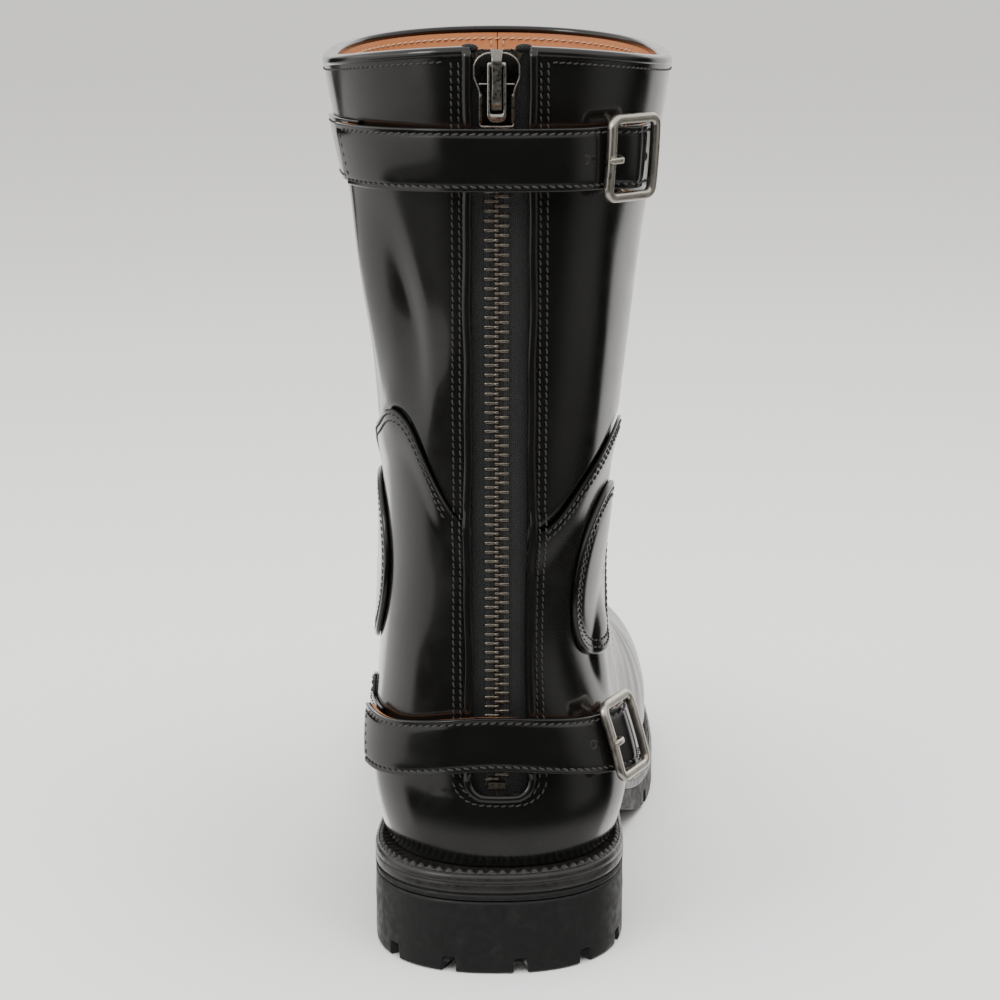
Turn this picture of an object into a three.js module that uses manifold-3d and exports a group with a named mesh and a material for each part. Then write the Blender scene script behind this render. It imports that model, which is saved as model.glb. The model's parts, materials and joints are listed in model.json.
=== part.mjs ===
// A tall back-zip leather boot for the right foot, on a welted lug sole, with a strap and buckle at the top and at the heel.
// Millimetres, +Z up, toe along +Y, lateral side along +X. The origin is on the floor under the middle of the heel.
import * as THREE from "three";
import { mergeVertices } from "three/addons/utils/BufferGeometryUtils.js";
import Module from "manifold-3d";

const wasm = await Module();
wasm.setup();

// ---- Driving dimensions ----------------------------------------------------------------------------------------------
const bootHeight = 297; // floor to the top line at the back
const soleLength = 304; // back edge of the heel to the toe edge of the welt
const heelEdge = -40; // y of the back edge of the heel
const heelHalfWidth = 39; // upper where it sits on the welt
const shaftTopHalfWidth = 57.6; // half of the shaft, side to side at the top line
const shaftTopDepth = 128; // shaft front to back at the top line
const toplineDip = 5.5; // how far the sides of the top line hang below its front and back
const heelSoleHalf = 41.5; // half widths of the sole, at heel and ball
const ballSoleHalf = 53;
const toeHeight = 44; // toe box above the welt

const heelLift = 24.5; // rubber heel block
const heelLength = 78;
const treadThickness = 10; // forepart of the rubber sole
const heelSeatThickness = 2.4; // the same sole where the heel block is nailed to it
const midsoleThickness = 3;
const weltThickness = 3;
const insoleThickness = 3;
const sockThickness = 1;
const weltLedge = 3; // how far the welt stands out past the widest line of the upper
const weltReach = 17; // width of the welt strip
const toeSpring = 8;
const lugNotch = 4; // width of a notch between two lugs
const lugDepth = 6;

const upperThickness = 2.2;
const stiffenerThickness = 1;
const liningThickness = 1.3;
const bindingThickness = 1.2;
const gap = 0.3; // air between two pieces
const layerGap = 0.5; // air between two leather layers

const strapWidth = 19;
const strapOuter = 1.6; // outside leather of a strap
const strapBacking = 1.1; // its lining
const upperStrapHeight = 263; // middle of the upper strap at the back
const lowerStrapHeight = 77;
const strapStandOff = 6.6; // the strap crosses the zip this far clear of the leather
const frameWidth = 22.5; // buckle frame along the strap
const frameBar = 3;
const strapSlack = 1; // between an edge of a strap and its buckle
const frameHeight = strapWidth + 2 * (frameBar + strapSlack);
const frameDepth = 2.4;
const centreBarRadius = 1;
const prongWidth = 2.4;
const prongDepth = 1.5;
const chapeThickness = 1;
const chapeGap = 0.8; // air under the chape

const slotHalf = 9.3; // half of the opening that shows the zip
const slotBottom = 59; // lower end of the opening
const pipingWidth = 2.6; // rolled edge round the opening
const pipingThickness = 0.8;
const tapeHalf = 14; // from the middle of the zip to the edge of its tape
const tapeThickness = 0.6;
const chainHalf = 3.9; // from the middle of the zip to the back of the teeth
const toothPitch = 3;
const toothThickness = 2.4;
const chainTop = 276;
const sliderLength = 22;
const sliderPlate = 1.1;
const sliderClearance = 0.45;
const flangeGap = 0.45; // from a flange of the slider to the tape
const rearClearance = 0.8; // the tape curves away inwards beside the chain, most at the ankle
const patchRadius = 29; // round patch over each ankle bone
const patchHeight = 125;
const lateralPatchAngle = 64; // from the back; the medial patch sits further forward
const medialPatchAngle = 96;
const patchThickness = 1.2;

// ---- Splines and small helpers ----------------------------------------------------------------------------------------
// Natural cubic spline through points [x, y], straight beyond its ends.
function spline(points) {
  const n = points.length;
  const x = points.map((p) => p[0]);
  const y = points.map((p) => p[1]);
  const bend = new Array(n).fill(0);
  const carry = new Array(n).fill(0);
  for (let i = 1; i < n - 1; i++) {
    const left = x[i] - x[i - 1];
    const right = x[i + 1] - x[i];
    const turn = (y[i + 1] - y[i]) / right - (y[i] - y[i - 1]) / left;
    const pivot = 2 * (left + right) - left * carry[i - 1];
    carry[i] = right / pivot;
    bend[i] = (6 * turn - left * bend[i - 1]) / pivot;
  }
  for (let i = n - 2; i > 0; i--) bend[i] -= carry[i] * bend[i + 1];
  const inner = (at, i) => {
    const h = x[i + 1] - x[i];
    const a = (x[i + 1] - at) / h;
    const b = 1 - a;
    return a * y[i] + b * y[i + 1] + (((a ** 3 - a) * bend[i] + (b ** 3 - b) * bend[i + 1]) * h * h) / 6;
  };
  const nudge = 1e-3;
  const slopeAt = (at, i) => (inner(at + nudge, i) - inner(at - nudge, i)) / (2 * nudge);
  return (at) => {
    if (at <= x[0]) return y[0] + (at - x[0]) * slopeAt(x[0], 0);
    if (at >= x[n - 1]) return y[n - 1] + (at - x[n - 1]) * slopeAt(x[n - 1], n - 2);
    let i = 0;
    while (x[i + 1] < at) i++;
    return inner(at, i);
  };
}
const mix = (a, b, t) => a + (b - a) * t;
const clamp = (v, low, high) => Math.min(high, Math.max(low, v));
const rad = THREE.MathUtils.degToRad;
const smooth = (t) => {
  const s = clamp(t, 0, 1);
  return s * s * (3 - 2 * s);
};
const power = (v, n) => Math.pow(Math.abs(v), n);

// ---- The sole in plan and along its length ------------------------------------------------------------------------------
const alongSole = (share) => heelEdge + share * soleLength;
const heelPivot = heelEdge + 45; // the heel is round behind this line
const toePivot = alongSole(0.78); // and the toe in front of this one
const soleHalf = spline([
  [heelPivot, heelSoleHalf],
  [alongSole(0.24), heelSoleHalf - 1.4],
  [alongSole(0.35), heelSoleHalf - 2.5],
  [alongSole(0.46), mix(heelSoleHalf, ballSoleHalf, 0.2)],
  [alongSole(0.57), mix(heelSoleHalf, ballSoleHalf, 0.82)],
  [alongSole(0.68), ballSoleHalf],
  [alongSole(0.8), ballSoleHalf - 1],
  [alongSole(1), ballSoleHalf - 7],
]);
const soleCentre = spline([
  [heelPivot, 0],
  [alongSole(0.24), 1.2],
  [alongSole(0.35), 4.2],
  [alongSole(0.46), 6.6],
  [alongSole(0.62), 7.4],
  [alongSole(0.8), 7],
  [alongSole(1), 7.5],
]);
const planRoundness = 2.3;
function soleField(x, y) {
  let end = 0;
  if (y < heelPivot) end = (heelPivot - y) / (heelPivot - heelEdge);
  if (y > toePivot) end = (y - toePivot) / (alongSole(1) - toePivot);
  const half = soleHalf(y);
  const across = power((x - soleCentre(y)) / half, planRoundness);
  return (Math.pow(across + power(end, planRoundness), 1 / planRoundness) - 1) * half;
}

// Height of the underside of the midsole: level on the heel, down to the ball, then up by the toe spring.
const seat = heelLift + gap + heelSeatThickness + gap;
const tread = treadThickness + gap;
const heelFront = heelEdge + heelLength;
const ball = alongSole(0.56);
const ramp = (t) => {
  const s = clamp(t, 0, 1);
  return s * s * s * (10 + s * (6 * s - 15));
};
const midsoleBottom = (y) =>
  mix(seat, tread, ramp((y - heelFront) / (ball - heelFront))) + toeSpring * clamp((y - ball) / (alongSole(1) - ball), 0, 2) ** 2;
const outsoleThickness = (y) => mix(heelSeatThickness, treadThickness, ramp((y - heelFront) / (ball - heelFront)));
const weltBottom = (y) => midsoleBottom(y) + midsoleThickness + gap;
const weltTop = (y) => weltBottom(y) + weltThickness;
const feather = (y) => weltTop(y) + gap; // where the upper and the insole start

// ---- The body of the upper: a leg and a foot, joined smoothly ------------------------------------------------------------
const heelSeat = feather(heelEdge);
const legZ = (share) => mix(heelSeat, bootHeight, share); // 0 on the welt, 1 at the top line
const backPlane = heelEdge + 8; // the zip runs straight down this plane
const backBulge = 3.2;
const backLine = (z) => backPlane - backBulge * Math.exp(-(((z - legZ(0.06)) / 17) ** 2));
const frontLine = spline([
  [legZ(0), 62],
  [legZ(0.12), 62],
  [legZ(0.27), 72],
  [legZ(0.37), 78],
  [legZ(0.5), 82],
  [legZ(0.7), 87],
  [legZ(1), backPlane + shaftTopDepth],
]);
const legHalf = spline([
  [legZ(0), heelHalfWidth],
  [legZ(0.04), heelHalfWidth + 2.8],
  [legZ(0.1), heelHalfWidth + 4],
  [legZ(0.19), heelHalfWidth - 0.6],
  [legZ(0.28), heelHalfWidth - 3.4],
  [legZ(0.42), heelHalfWidth - 1.8],
  [legZ(0.56), heelHalfWidth + 1.4],
  [legZ(0.68), mix(heelHalfWidth, shaftTopHalfWidth, 0.26)],
  [legZ(0.8), mix(heelHalfWidth, shaftTopHalfWidth, 0.5)],
  [legZ(0.92), mix(heelHalfWidth, shaftTopHalfWidth, 0.83)],
  [legZ(1), shaftTopHalfWidth],
]);
const legCentre = spline([
  [legZ(0), 0],
  [legZ(0.1), -0.4],
  [legZ(0.19), -3],
  [legZ(0.27), -4.4],
  [legZ(0.37), -2.6],
  [legZ(0.5), -0.8],
  [legZ(1), -1],
]);
const legRoundness = 2.3;
function legField(x, y, z) {
  const depth = (frontLine(z) - backLine(z)) / 2;
  const middle = (frontLine(z) + backLine(z)) / 2;
  const half = legHalf(z);
  const across = power((x - legCentre(z)) / half, legRoundness);
  return (Math.pow(across + power((y - middle) / depth, legRoundness), 1 / legRoundness) - 1) * half;
}

const footHalf = (y) => soleHalf(y) - weltLedge;
const footRidge = spline([
  [alongSole(0.1), toeHeight + 84],
  [alongSole(0.2), toeHeight + 76],
  [alongSole(0.33), toeHeight + 61],
  [alongSole(0.43), toeHeight + 46],
  [alongSole(0.53), toeHeight + 29],
  [alongSole(0.66), toeHeight + 13],
  [alongSole(0.79), toeHeight + 5],
  [alongSole(0.9), toeHeight + 2],
  [alongSole(1), toeHeight],
]);
const widestAbove = 14; // the upper is widest this far above the welt
const turnUnder = 38; // larger: less tucked in at the welt
const footRoundness = 2.25;
const toeStart = alongSole(0.73);
const toeEnd = alongSole(1) - weltLedge;
const instepStart = 15; // the foot is rounded off behind this line, inside the leg
const instepDepth = 32;
function footField(x, y, z) {
  const half = footHalf(y);
  const up = z - feather(y) - widestAbove;
  const tall = up > 0 ? up / (footRidge(y) - widestAbove) : up / turnUnder;
  const toe = Math.max(0, (y - toeStart) / (toeEnd - toeStart), (instepStart - y) / instepDepth);
  const across = power((x - soleCentre(y)) / half, footRoundness);
  return (Math.pow(across + power(tall, 2.1) + power(toe, 2.5), 1 / footRoundness) - 1) * half;
}
const ankleFillet = 34;
function body(x, y, z) {
  const a = legField(x, y, z);
  const b = footField(x, y, z);
  const fillet = 1 + ankleFillet * ramp(y / 60); // none round the heel
  const near = Math.max(fillet - Math.abs(a - b), 0) / fillet;
  return Math.min(a, b) - (near ** 3 * fillet) / 6;
}

// Where a ray from inside a field leaves it, then moved out along the normal there.
function leave(field, from, toward, out) {
  let inside = 0;
  let outside = 340;
  const at = (r) => from.map((v, i) => v + toward[i] * r);
  for (let i = 0; i < 32; i++) {
    const middle = (inside + outside) / 2;
    if (field(...at(middle)) < 0) inside = middle;
    else outside = middle;
  }
  const [x, y, z] = at(inside);
  const e = 0.05;
  const normal = new THREE.Vector3(
    field(x + e, y, z) - field(x - e, y, z),
    field(x, y + e, z) - field(x, y - e, z),
    field(x, y, z + e) - field(x, y, z - e),
  ).normalize();
  return { point: new THREE.Vector3(x, y, z).addScaledVector(normal, out), normal };
}

// Round the leg: angle in degrees from the back, positive towards the lateral side.
const legAxis = 22;
const legExit = (angle, z, out) =>
  leave(body, [legCentre(z), legAxis, z], [Math.sin(rad(angle)), -Math.cos(rad(angle)), 0], out);
const onLeg = (angle, z, out) => legExit(angle, z, out).point;
// On the back of the leg, at a chosen x.
const onBack = (x, z, out) => leave(body, [x, legAxis, z], [0, -1, 0], out).point;
// The same, but offset straight back, so that x stays as it is.
function behind(x, z, out) {
  const p = onBack(x, z, 0);
  return p.setY(p.y - out);
}
const backAngle = (x) => THREE.MathUtils.radToDeg(Math.atan2(x, legAxis - backPlane));

// Over the foot, in planes that lean back at the instep and lie down at the toe. Share 0 is the seam with the quarter.
const seamY = 62;
const seamLean = 17;
const vampEnd = alongSole(0.89);
const toeRise = Math.atan2(feather(toeEnd) - feather(vampEnd), toeEnd - vampEnd);
const toeLean = 90 - THREE.MathUtils.radToDeg(toeRise);
const leanAt = (share) => mix(mix(seamLean, 4, smooth(share / 0.4)), toeLean, clamp((share - 0.5) / 0.5, 0, 1) ** 1.5);
function onFoot(share, angle, out) {
  const y = mix(seamY, vampEnd, share);
  const lean = rad(leanAt(share));
  const a = rad(angle);
  const toward = [Math.sin(a), Math.cos(a) * Math.sin(lean), Math.cos(a) * Math.cos(lean)];
  return leave(body, [soleCentre(y), y, feather(y) + 0.4], toward, out).point;
}

// ---- Turning point grids into closed meshes -------------------------------------------------------------------------------
// A closed shell between two grids of points, rows by columns. A looped shell joins its last column to its first.
function shell(outer, inner, looped = false) {
  const rows = outer.length;
  const columns = outer[0].length;
  const positions = [];
  for (const side of [outer, inner]) for (const row of side) for (const p of row) positions.push(p.x, p.y, p.z);
  const id = (side, i, j) => side * rows * columns + i * columns + (j % columns);
  const index = [];
  const quad = (a, b, c, d) => index.push(a, b, c, a, c, d);
  const spans = looped ? columns : columns - 1;
  for (let j = 0; j < spans; j++) {
    for (let i = 0; i < rows - 1; i++) {
      quad(id(0, i, j), id(0, i, j + 1), id(0, i + 1, j + 1), id(0, i + 1, j));
      quad(id(1, i, j), id(1, i + 1, j), id(1, i + 1, j + 1), id(1, i, j + 1));
    }
    quad(id(0, 0, j), id(1, 0, j), id(1, 0, j + 1), id(0, 0, j + 1));
    quad(id(0, rows - 1, j), id(0, rows - 1, j + 1), id(1, rows - 1, j + 1), id(1, rows - 1, j));
  }
  for (let i = 0; i < rows - 1 && !looped; i++) {
    quad(id(0, i, 0), id(0, i + 1, 0), id(1, i + 1, 0), id(1, i, 0));
    quad(id(0, i, columns - 1), id(1, i, columns - 1), id(1, i + 1, columns - 1), id(0, i + 1, columns - 1));
  }
  const geometry = new THREE.BufferGeometry();
  geometry.setAttribute("position", new THREE.Float32BufferAttribute(positions, 3));
  geometry.setIndex(index);
  return tidy(geometry);
}
// Only positions, shared vertices merged, empty triangles dropped, faces turned outwards.
function tidy(geometry) {
  const bare = geometry.clone();
  for (const name of ["normal", "uv"]) bare.deleteAttribute(name);
  const merged = mergeVertices(bare, 1e-3);
  const p = merged.attributes.position;
  const kept = [];
  let volume = 0;
  const corner = [0, 1, 2].map(() => new THREE.Vector3());
  for (let i = 0; i < merged.index.count; i += 3) {
    const [a, b, c] = [0, 1, 2].map((k) => merged.index.getX(i + k));
    if (a === b || b === c || c === a) continue;
    kept.push(a, b, c);
    [a, b, c].forEach((v, k) => corner[k].fromBufferAttribute(p, v));
    volume += corner[0].dot(corner[1].clone().cross(corner[2]));
  }
  merged.setIndex(volume < 0 ? kept.reverse() : kept);
  return merged;
}
function solid(geometry) {
  const clean = tidy(geometry);
  const vertProperties = new Float32Array(clean.attributes.position.array);
  return new wasm.Manifold(new wasm.Mesh({ numProp: 3, vertProperties, triVerts: new Uint32Array(clean.index.array) }));
}
function meshOf(made) {
  const mesh = made.getMesh();
  const geometry = new THREE.BufferGeometry();
  const positions = [];
  for (let i = 0; i < mesh.numVert; i++) {
    const start = i * mesh.numProp;
    positions.push(...mesh.vertProperties.subarray(start, start + 3));
  }
  geometry.setAttribute("position", new THREE.Float32BufferAttribute(positions, 3));
  geometry.setIndex(Array.from(mesh.triVerts));
  return geometry;
}
const cut = (geometry, ...tools) => meshOf(tools.reduce((left, tool) => left.subtract(solid(tool)), solid(geometry)));
const join = (...geometries) => meshOf(geometries.map(solid).reduce((a, b) => a.add(b)));
const evenly = (from, to, count) => Array.from({ length: count + 1 }, (_, i) => mix(from, to, i / count));
const boxAt = (x0, x1, y0, y1, z0, z1) =>
  new THREE.BoxGeometry(x1 - x0, y1 - y0, z1 - z0).translate((x0 + x1) / 2, (y0 + y1) / 2, (z0 + z1) / 2);

// A layer round the leg between two offsets, from one height to another, both given by angle.
const legStep = 10;
function legLayer(angles, low, high, shares, from, to) {
  const looped = angles.at(-1) - angles[0] > 360 - 1.5 * legStep;
  const layer = (out) =>
    shares.map((s) =>
      angles.map((angle) => {
        const z = mix(low(angle), high(angle), s);
        return onLeg(angle, z, typeof out === "function" ? out(angle, z) : out);
      }),
    );
  return shell(layer(from), layer(to), looped);
}
const anglesBetween = (from, to) => evenly(from, to, Math.max(2, Math.round((to - from) / legStep)));

// ---- Materials -----------------------------------------------------------------------------------------------------------
const material = (color, roughness, metalness = 0) => () =>
  new THREE.MeshStandardMaterial({ color, roughness, metalness });
const polished = material(0x0b0b0b, 0.22);
const tan = material(0xb06a3c, 0.6);
const rubber = material(0x141414, 0.8);
const edge = material(0x101010, 0.4);
const nickel = material(0xb9b2a4, 0.25, 1);
const aged = material(0x6e675a, 0.35, 1);
const cotton = material(0x0c0c0c, 0.95);
const board = material(0x9a7448, 0.85);
const steel = material(0x8a8d90, 0.35, 1);

const boot = new THREE.Group();
function piece(name, geometry, finish) {
  const mesh = new THREE.Mesh(tidy(geometry), finish());
  mesh.name = name;
  boot.add(mesh);
  return mesh;
}

// ---- Sole ------------------------------------------------------------------------------------------------------------------
// Matching points on the medial and lateral edge of a plan outline, from the heel to the toe.
const endStep = 17;
const planStations = [
  ...evenly(3, 90, Math.round(87 / endStep)).map((angle) => ({ y: heelPivot, angle })),
  ...evenly(heelPivot, toePivot, 13).slice(1, -1).map((y) => ({ y, angle: 90 })),
  ...evenly(90, 177, Math.round(87 / endStep) + 1).map((angle) => ({ y: toePivot, angle })),
];
function planPair({ y, angle }, field, out, height) {
  return [-1, 1].map((side) => {
    const toward = [side * Math.sin(rad(angle)), -Math.cos(rad(angle)), 0];
    const z = height(y - Math.cos(rad(angle)) * 40);
    return leave(field, [soleCentre(y), y, z], toward, out).point;
  });
}
// A slab between two heights that change along the sole.
const acrossSteps = 2;
function slab(stations, field, inset, bottom, top) {
  const pairs = stations.map((s) => planPair(s, field, -inset, weltTop));
  const level = (height) =>
    pairs.map(([a, b]) =>
      evenly(0, 1, acrossSteps).map((t) => {
        const p = a.clone().lerp(b, t);
        return p.setZ(height(p.y));
      }),
    );
  return shell(level(top), level(bottom));
}
const soleSlab = (inset, bottom, top) => slab(planStations, soleField, inset, bottom, top);

// Nails driven through the sole into the heel block; slack makes the hole for one.
const nailRadius = 1.4;
const nailHead = 2.8;
const nailPoint = 9;
const nailPlaces = [[0, -22], [-22, -6], [22, -6], [-20, 24], [20, 24]];
function nail(x, y, slack) {
  const top = seat - gap + (slack ? 1 : 0);
  const under = seat - gap - 1.1 - slack;
  const profile = [
    [0, nailPoint - slack],
    [nailRadius + slack, nailPoint + 1],
    [nailRadius + slack, under],
    [nailHead + slack, under],
    [nailHead + slack, top],
    [0, top],
  ].map(([r, z]) => new THREE.Vector2(r, z));
  return new THREE.LatheGeometry(profile, 6).rotateX(Math.PI / 2).translate(x, y, 0);
}

// Heel block: straight sides, round back, chamfered tread edge, notches between its lugs.
const heelChamfer = 4;
const heelStations = [
  ...planStations.filter((s) => s.angle < 90),
  ...evenly(heelPivot, heelFront, 4).map((y) => ({ y, angle: 90 })),
];
const heelLevels = [
  [heelLift, 0],
  [heelChamfer + 3, 0.4],
  [heelChamfer * 0.35, heelChamfer * 0.45],
  [0, heelChamfer],
];
// A stack of plan outlines, each [height, inset], closed by a fan above and below.
function stackedPlan(stations, levels) {
  const rings = levels.map(([z, inset]) => {
    const pairs = stations.map((s) => planPair(s, soleField, -inset, weltTop));
    return [...pairs.map((p) => p[0]), ...pairs.reverse().map((p) => p[1])].map((p) => p.setZ(z));
  });
  const middle = (ring) => ring.map(() => new THREE.Vector3(0, heelPivot, ring[0].z));
  const stack = [middle(rings[0]), ...rings, middle(rings.at(-1))];
  const count = rings[0].length;
  const index = [];
  for (let i = 0; i < stack.length - 1; i++)
    for (let j = 0; j < count; j++) {
      const next = (j + 1) % count;
      index.push(i * count + j, (i + 1) * count + j, (i + 1) * count + next);
      index.push(i * count + j, (i + 1) * count + next, i * count + next);
    }
  const geometry = new THREE.BufferGeometry();
  const positions = stack.flat().flatMap((p) => [p.x, p.y, p.z]);
  geometry.setAttribute("position", new THREE.Float32BufferAttribute(positions, 3));
  geometry.setIndex(index);
  return geometry;
}
const notchAngles = [-76, -48, -21, 9, 38, 64];
const notch = (angle, x, y, deep) =>
  new THREE.BoxGeometry(lugNotch, 2 * deep, 2 * lugDepth)
    .rotateZ(rad(angle))
    .translate(x, y, 0);
const heelNotches = notchAngles.map((angle) => {
  const { point } = leave(soleField, [0, heelPivot, 0], [Math.sin(rad(angle)), -Math.cos(rad(angle)), 0], 0);
  return notch(angle, point.x, point.y, 11);
});
const heelGrooves = [-1, 1].map((side) => boxAt(side * 17 - 2, side * 17 + 2, heelPivot - 4, heelFront + 1, -1, lugDepth));
const nailHoles = nailPlaces.map(([x, y]) => nail(x, y, gap));
piece("heel_block", cut(stackedPlan(heelStations, heelLevels), ...heelNotches, ...heelGrooves, ...nailHoles), rubber);

// One rubber sole from toe to heel, with notches in the edge of its forepart.
const outsoleTop = (y) => midsoleBottom(y) - gap;
const outsoleBottom = (y) => outsoleTop(y) - outsoleThickness(y);
const foreNotches = [-1, 1].flatMap((side) =>
  evenly(alongSole(0.52), alongSole(0.8), 4).map((y) => {
    const { point } = leave(soleField, [soleCentre(y), y, 0], [side, 0, 0], 0);
    return boxAt(point.x - 10, point.x + 10, y - lugNotch / 2, y + lugNotch / 2, -1, outsoleBottom(y) + lugDepth);
  }),
);
const foreGrooves = evenly(alongSole(0.56), alongSole(0.78), 3).map((y) =>
  boxAt(soleCentre(y) - 30, soleCentre(y) + 30, y - 3, y + 3, -1, outsoleBottom(y) + lugDepth),
);
piece(
  "rubber_sole",
  cut(soleSlab(0, outsoleBottom, outsoleTop), ...foreNotches, ...foreGrooves, ...nailHoles),
  rubber,
);
nailPlaces.forEach(([x, y], i) => piece("heel_nail_" + (i + 1), nail(x, y, 0), steel));
piece("midsole", soleSlab(0.5, midsoleBottom, (y) => midsoleBottom(y) + midsoleThickness), edge);

// Welt: a strip all the way round.
function planLoop(inset) {
  const pairs = planStations.map((s) => planPair(s, soleField, -inset, weltTop));
  return [...pairs.map((p) => p[0]), ...pairs.reverse().map((p) => p[1])];
}
const weltRing = (inset, height) => planLoop(inset).map((p) => new THREE.Vector3(p.x, p.y, height(p.y)));
piece(
  "welt",
  shell(
    [weltRing(0, weltBottom), weltRing(0, weltTop)],
    [weltRing(weltReach, weltBottom), weltRing(weltReach, weltTop)],
    true,
  ),
  edge,
);

// Cork inside the welt, with the steel shank let into it.
const shankHalf = 7;
const shankThickness = 1.4;
const shankStart = 0;
const shankEnd = alongSole(0.5);
const shankTop = (y) => weltTop(y) - gap;
const stripAlong = (half, start, end, low, high) => {
  const level = (height) => evenly(start, end, 12).map((y) => [-half, half].map((x) => new THREE.Vector3(x, y, height(y))));
  return shell(level(high), level(low));
};
const pocket = stripAlong(shankHalf + gap, shankStart - gap, shankEnd + gap, (y) => shankTop(y) - shankThickness - gap, (y) => weltTop(y) + 2);
piece("cork_filler", cut(soleSlab(weltReach + gap, weltBottom, weltTop), pocket), board);
piece("shank", stripAlong(shankHalf, shankStart, shankEnd, (y) => shankTop(y) - shankThickness, shankTop), steel);

// ---- Upper layers ------------------------------------------------------------------------------------------------------------
const stiffenerOut = -(upperThickness + layerGap);
const tapeOut = -(upperThickness + layerGap);
const liningAtShaft = tapeOut - tapeThickness - gap;
const liningAtFoot = stiffenerOut - stiffenerThickness - layerGap - gap;
const shaftStart = legZ(0.3);
const liningOut = (angle, z) => mix(liningAtFoot, liningAtShaft, smooth((z - shaftStart) / 30));

const rim = (angle) => bootHeight - bindingThickness - gap - toplineDip * Math.sin(rad(angle)) ** 2;
// Foot of the upper at each angle round the leg, found where the leg meets the welt.
const seatAt = new Map();
function legFoot(angle) {
  if (!seatAt.has(angle)) seatAt.set(angle, feather(onLeg(angle, heelSeat, 0).y) + 0.2);
  return seatAt.get(angle);
}
// The wave seam between quarter and shaft, by angle from the back.
const waveLeft = spline([
  [0, 146],
  [11, 147],
  [25, 165],
  [33, 176],
  [41, 181],
  [60, 176],
  [75, 172],
  [100, 164],
  [125, 150],
  [150, 135],
  [180, 120],
]);
const waveRight = spline([
  [0, 145.5],
  [17, 146],
  [33, 158.5],
  [48, 167.5],
  [62, 173],
  [80, 174],
  [100, 167],
  [125, 151],
  [150, 135],
  [180, 120],
]);
const wave = (angle) => (angle < 0 ? waveLeft(-angle) : waveRight(angle));

// The seam plane between vamp and the rest, as a big block on one side of it.
function seamBlock(sideGap, front) {
  const size = 500;
  const block = new THREE.BoxGeometry(size, size, size).translate(0, (front ? 1 : -1) * (size / 2 + sideGap), 0);
  return block.rotateX(-rad(seamLean)).translate(0, seamY, feather(seamY));
}
const aheadOfSeam = seamBlock(-gap / 2, true);
const behindSeam = seamBlock(-gap / 2, false);

// The opening for the zip, with round lower corners.
function slotTool(half, bottom, corner) {
  const shape = new THREE.Shape();
  shape.moveTo(half, bootHeight + 20);
  shape.lineTo(-half, bootHeight + 20);
  shape.lineTo(-half, bottom + corner);
  shape.absarc(-half + corner, bottom + corner, corner, Math.PI, 1.5 * Math.PI, false);
  shape.absarc(half - corner, bottom + corner, corner, 1.5 * Math.PI, 2 * Math.PI, false);
  shape.closePath();
  const deep = 40;
  const geometry = new THREE.ExtrudeGeometry(shape, { depth: deep, bevelEnabled: false, curveSegments: 4 });
  return geometry.rotateX(Math.PI / 2).translate(0, backPlane + deep - 12, 0);
}
const slotCorner = 5;
const slot = slotTool(slotHalf, slotBottom, slotCorner);

const fullTurn = evenly(-180, 180 - legStep, 360 / legStep - 1);
const quarterAngles = anglesBetween(-150, 150);
const quarterShares = [0, 0.06, 0.12, 0.19, 0.27, 0.36, 0.46, 0.57, 0.68, 0.79, 0.9, 1];
const shaftShares = evenly(0, 1, 6);
const liningShares = [0, 0.035, 0.07, 0.11, 0.15, 0.2, 0.25, 0.3, 0.35, 0.4, 0.46, 0.56, 0.7, 0.85, 1];
const quarterTop = (angle) => wave(angle) - gap / 2;
const shaftGeometry = legLayer(fullTurn, (a) => wave(a) + gap / 2, rim, shaftShares, 0, -upperThickness);
piece("shaft", cut(shaftGeometry, slot, aheadOfSeam), polished);
const quarterGeometry = legLayer(quarterAngles, legFoot, quarterTop, quarterShares, 0, -upperThickness);
piece("quarter", cut(quarterGeometry, slot, aheadOfSeam), polished);

// Counter: a stiff cup inside the quarter, notched for the end of the zip.
const counterReach = 100;
const counterAngles = anglesBetween(-counterReach, counterReach);
const counterShares = quarterShares.slice(0, 6);
const counterNotch = boxAt(-tapeHalf - 1, tapeHalf + 1, backPlane - 20, backPlane + 30, slotBottom - 7, bootHeight);
const counterGeometry = legLayer(counterAngles, legFoot, quarterTop, counterShares, stiffenerOut, stiffenerOut - stiffenerThickness);
piece("heel_counter", cut(counterGeometry, counterNotch), board);

// Leg lining in two halves, with its seam down the front.
const sideAngles = [3, ...evenly(10, 170, 16), 179.7];
for (const [name, side] of [
  ["medial", -1],
  ["lateral", 1],
]) {
  const inner = (angle, z) => liningOut(angle, z) - liningThickness;
  const angles = sideAngles.map((a) => side * a);
  const geometry = legLayer(angles, legFoot, rim, liningShares, liningOut, inner);
  const midline = boxAt(-0.5, 0.5, backPlane - 20, legAxis, 0, bootHeight + 10);
  piece("leg_lining_" + name, cut(geometry, slot, midline, aheadOfSeam), tan);
}

// Binding over the top edge of shaft and lining.
const rimLoop = (out, lift) => fullTurn.map((a) => onLeg(a, rim(a) + lift, out));
const bindingInner = liningAtShaft - liningThickness;
piece(
  "top_binding",
  cut(
    shell(
      [rimLoop(0, gap), rimLoop(0, gap + bindingThickness)],
      [rimLoop(bindingInner, gap), rimLoop(bindingInner, gap + bindingThickness)],
      true,
    ),
    slot,
  ),
  edge,
);

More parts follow.
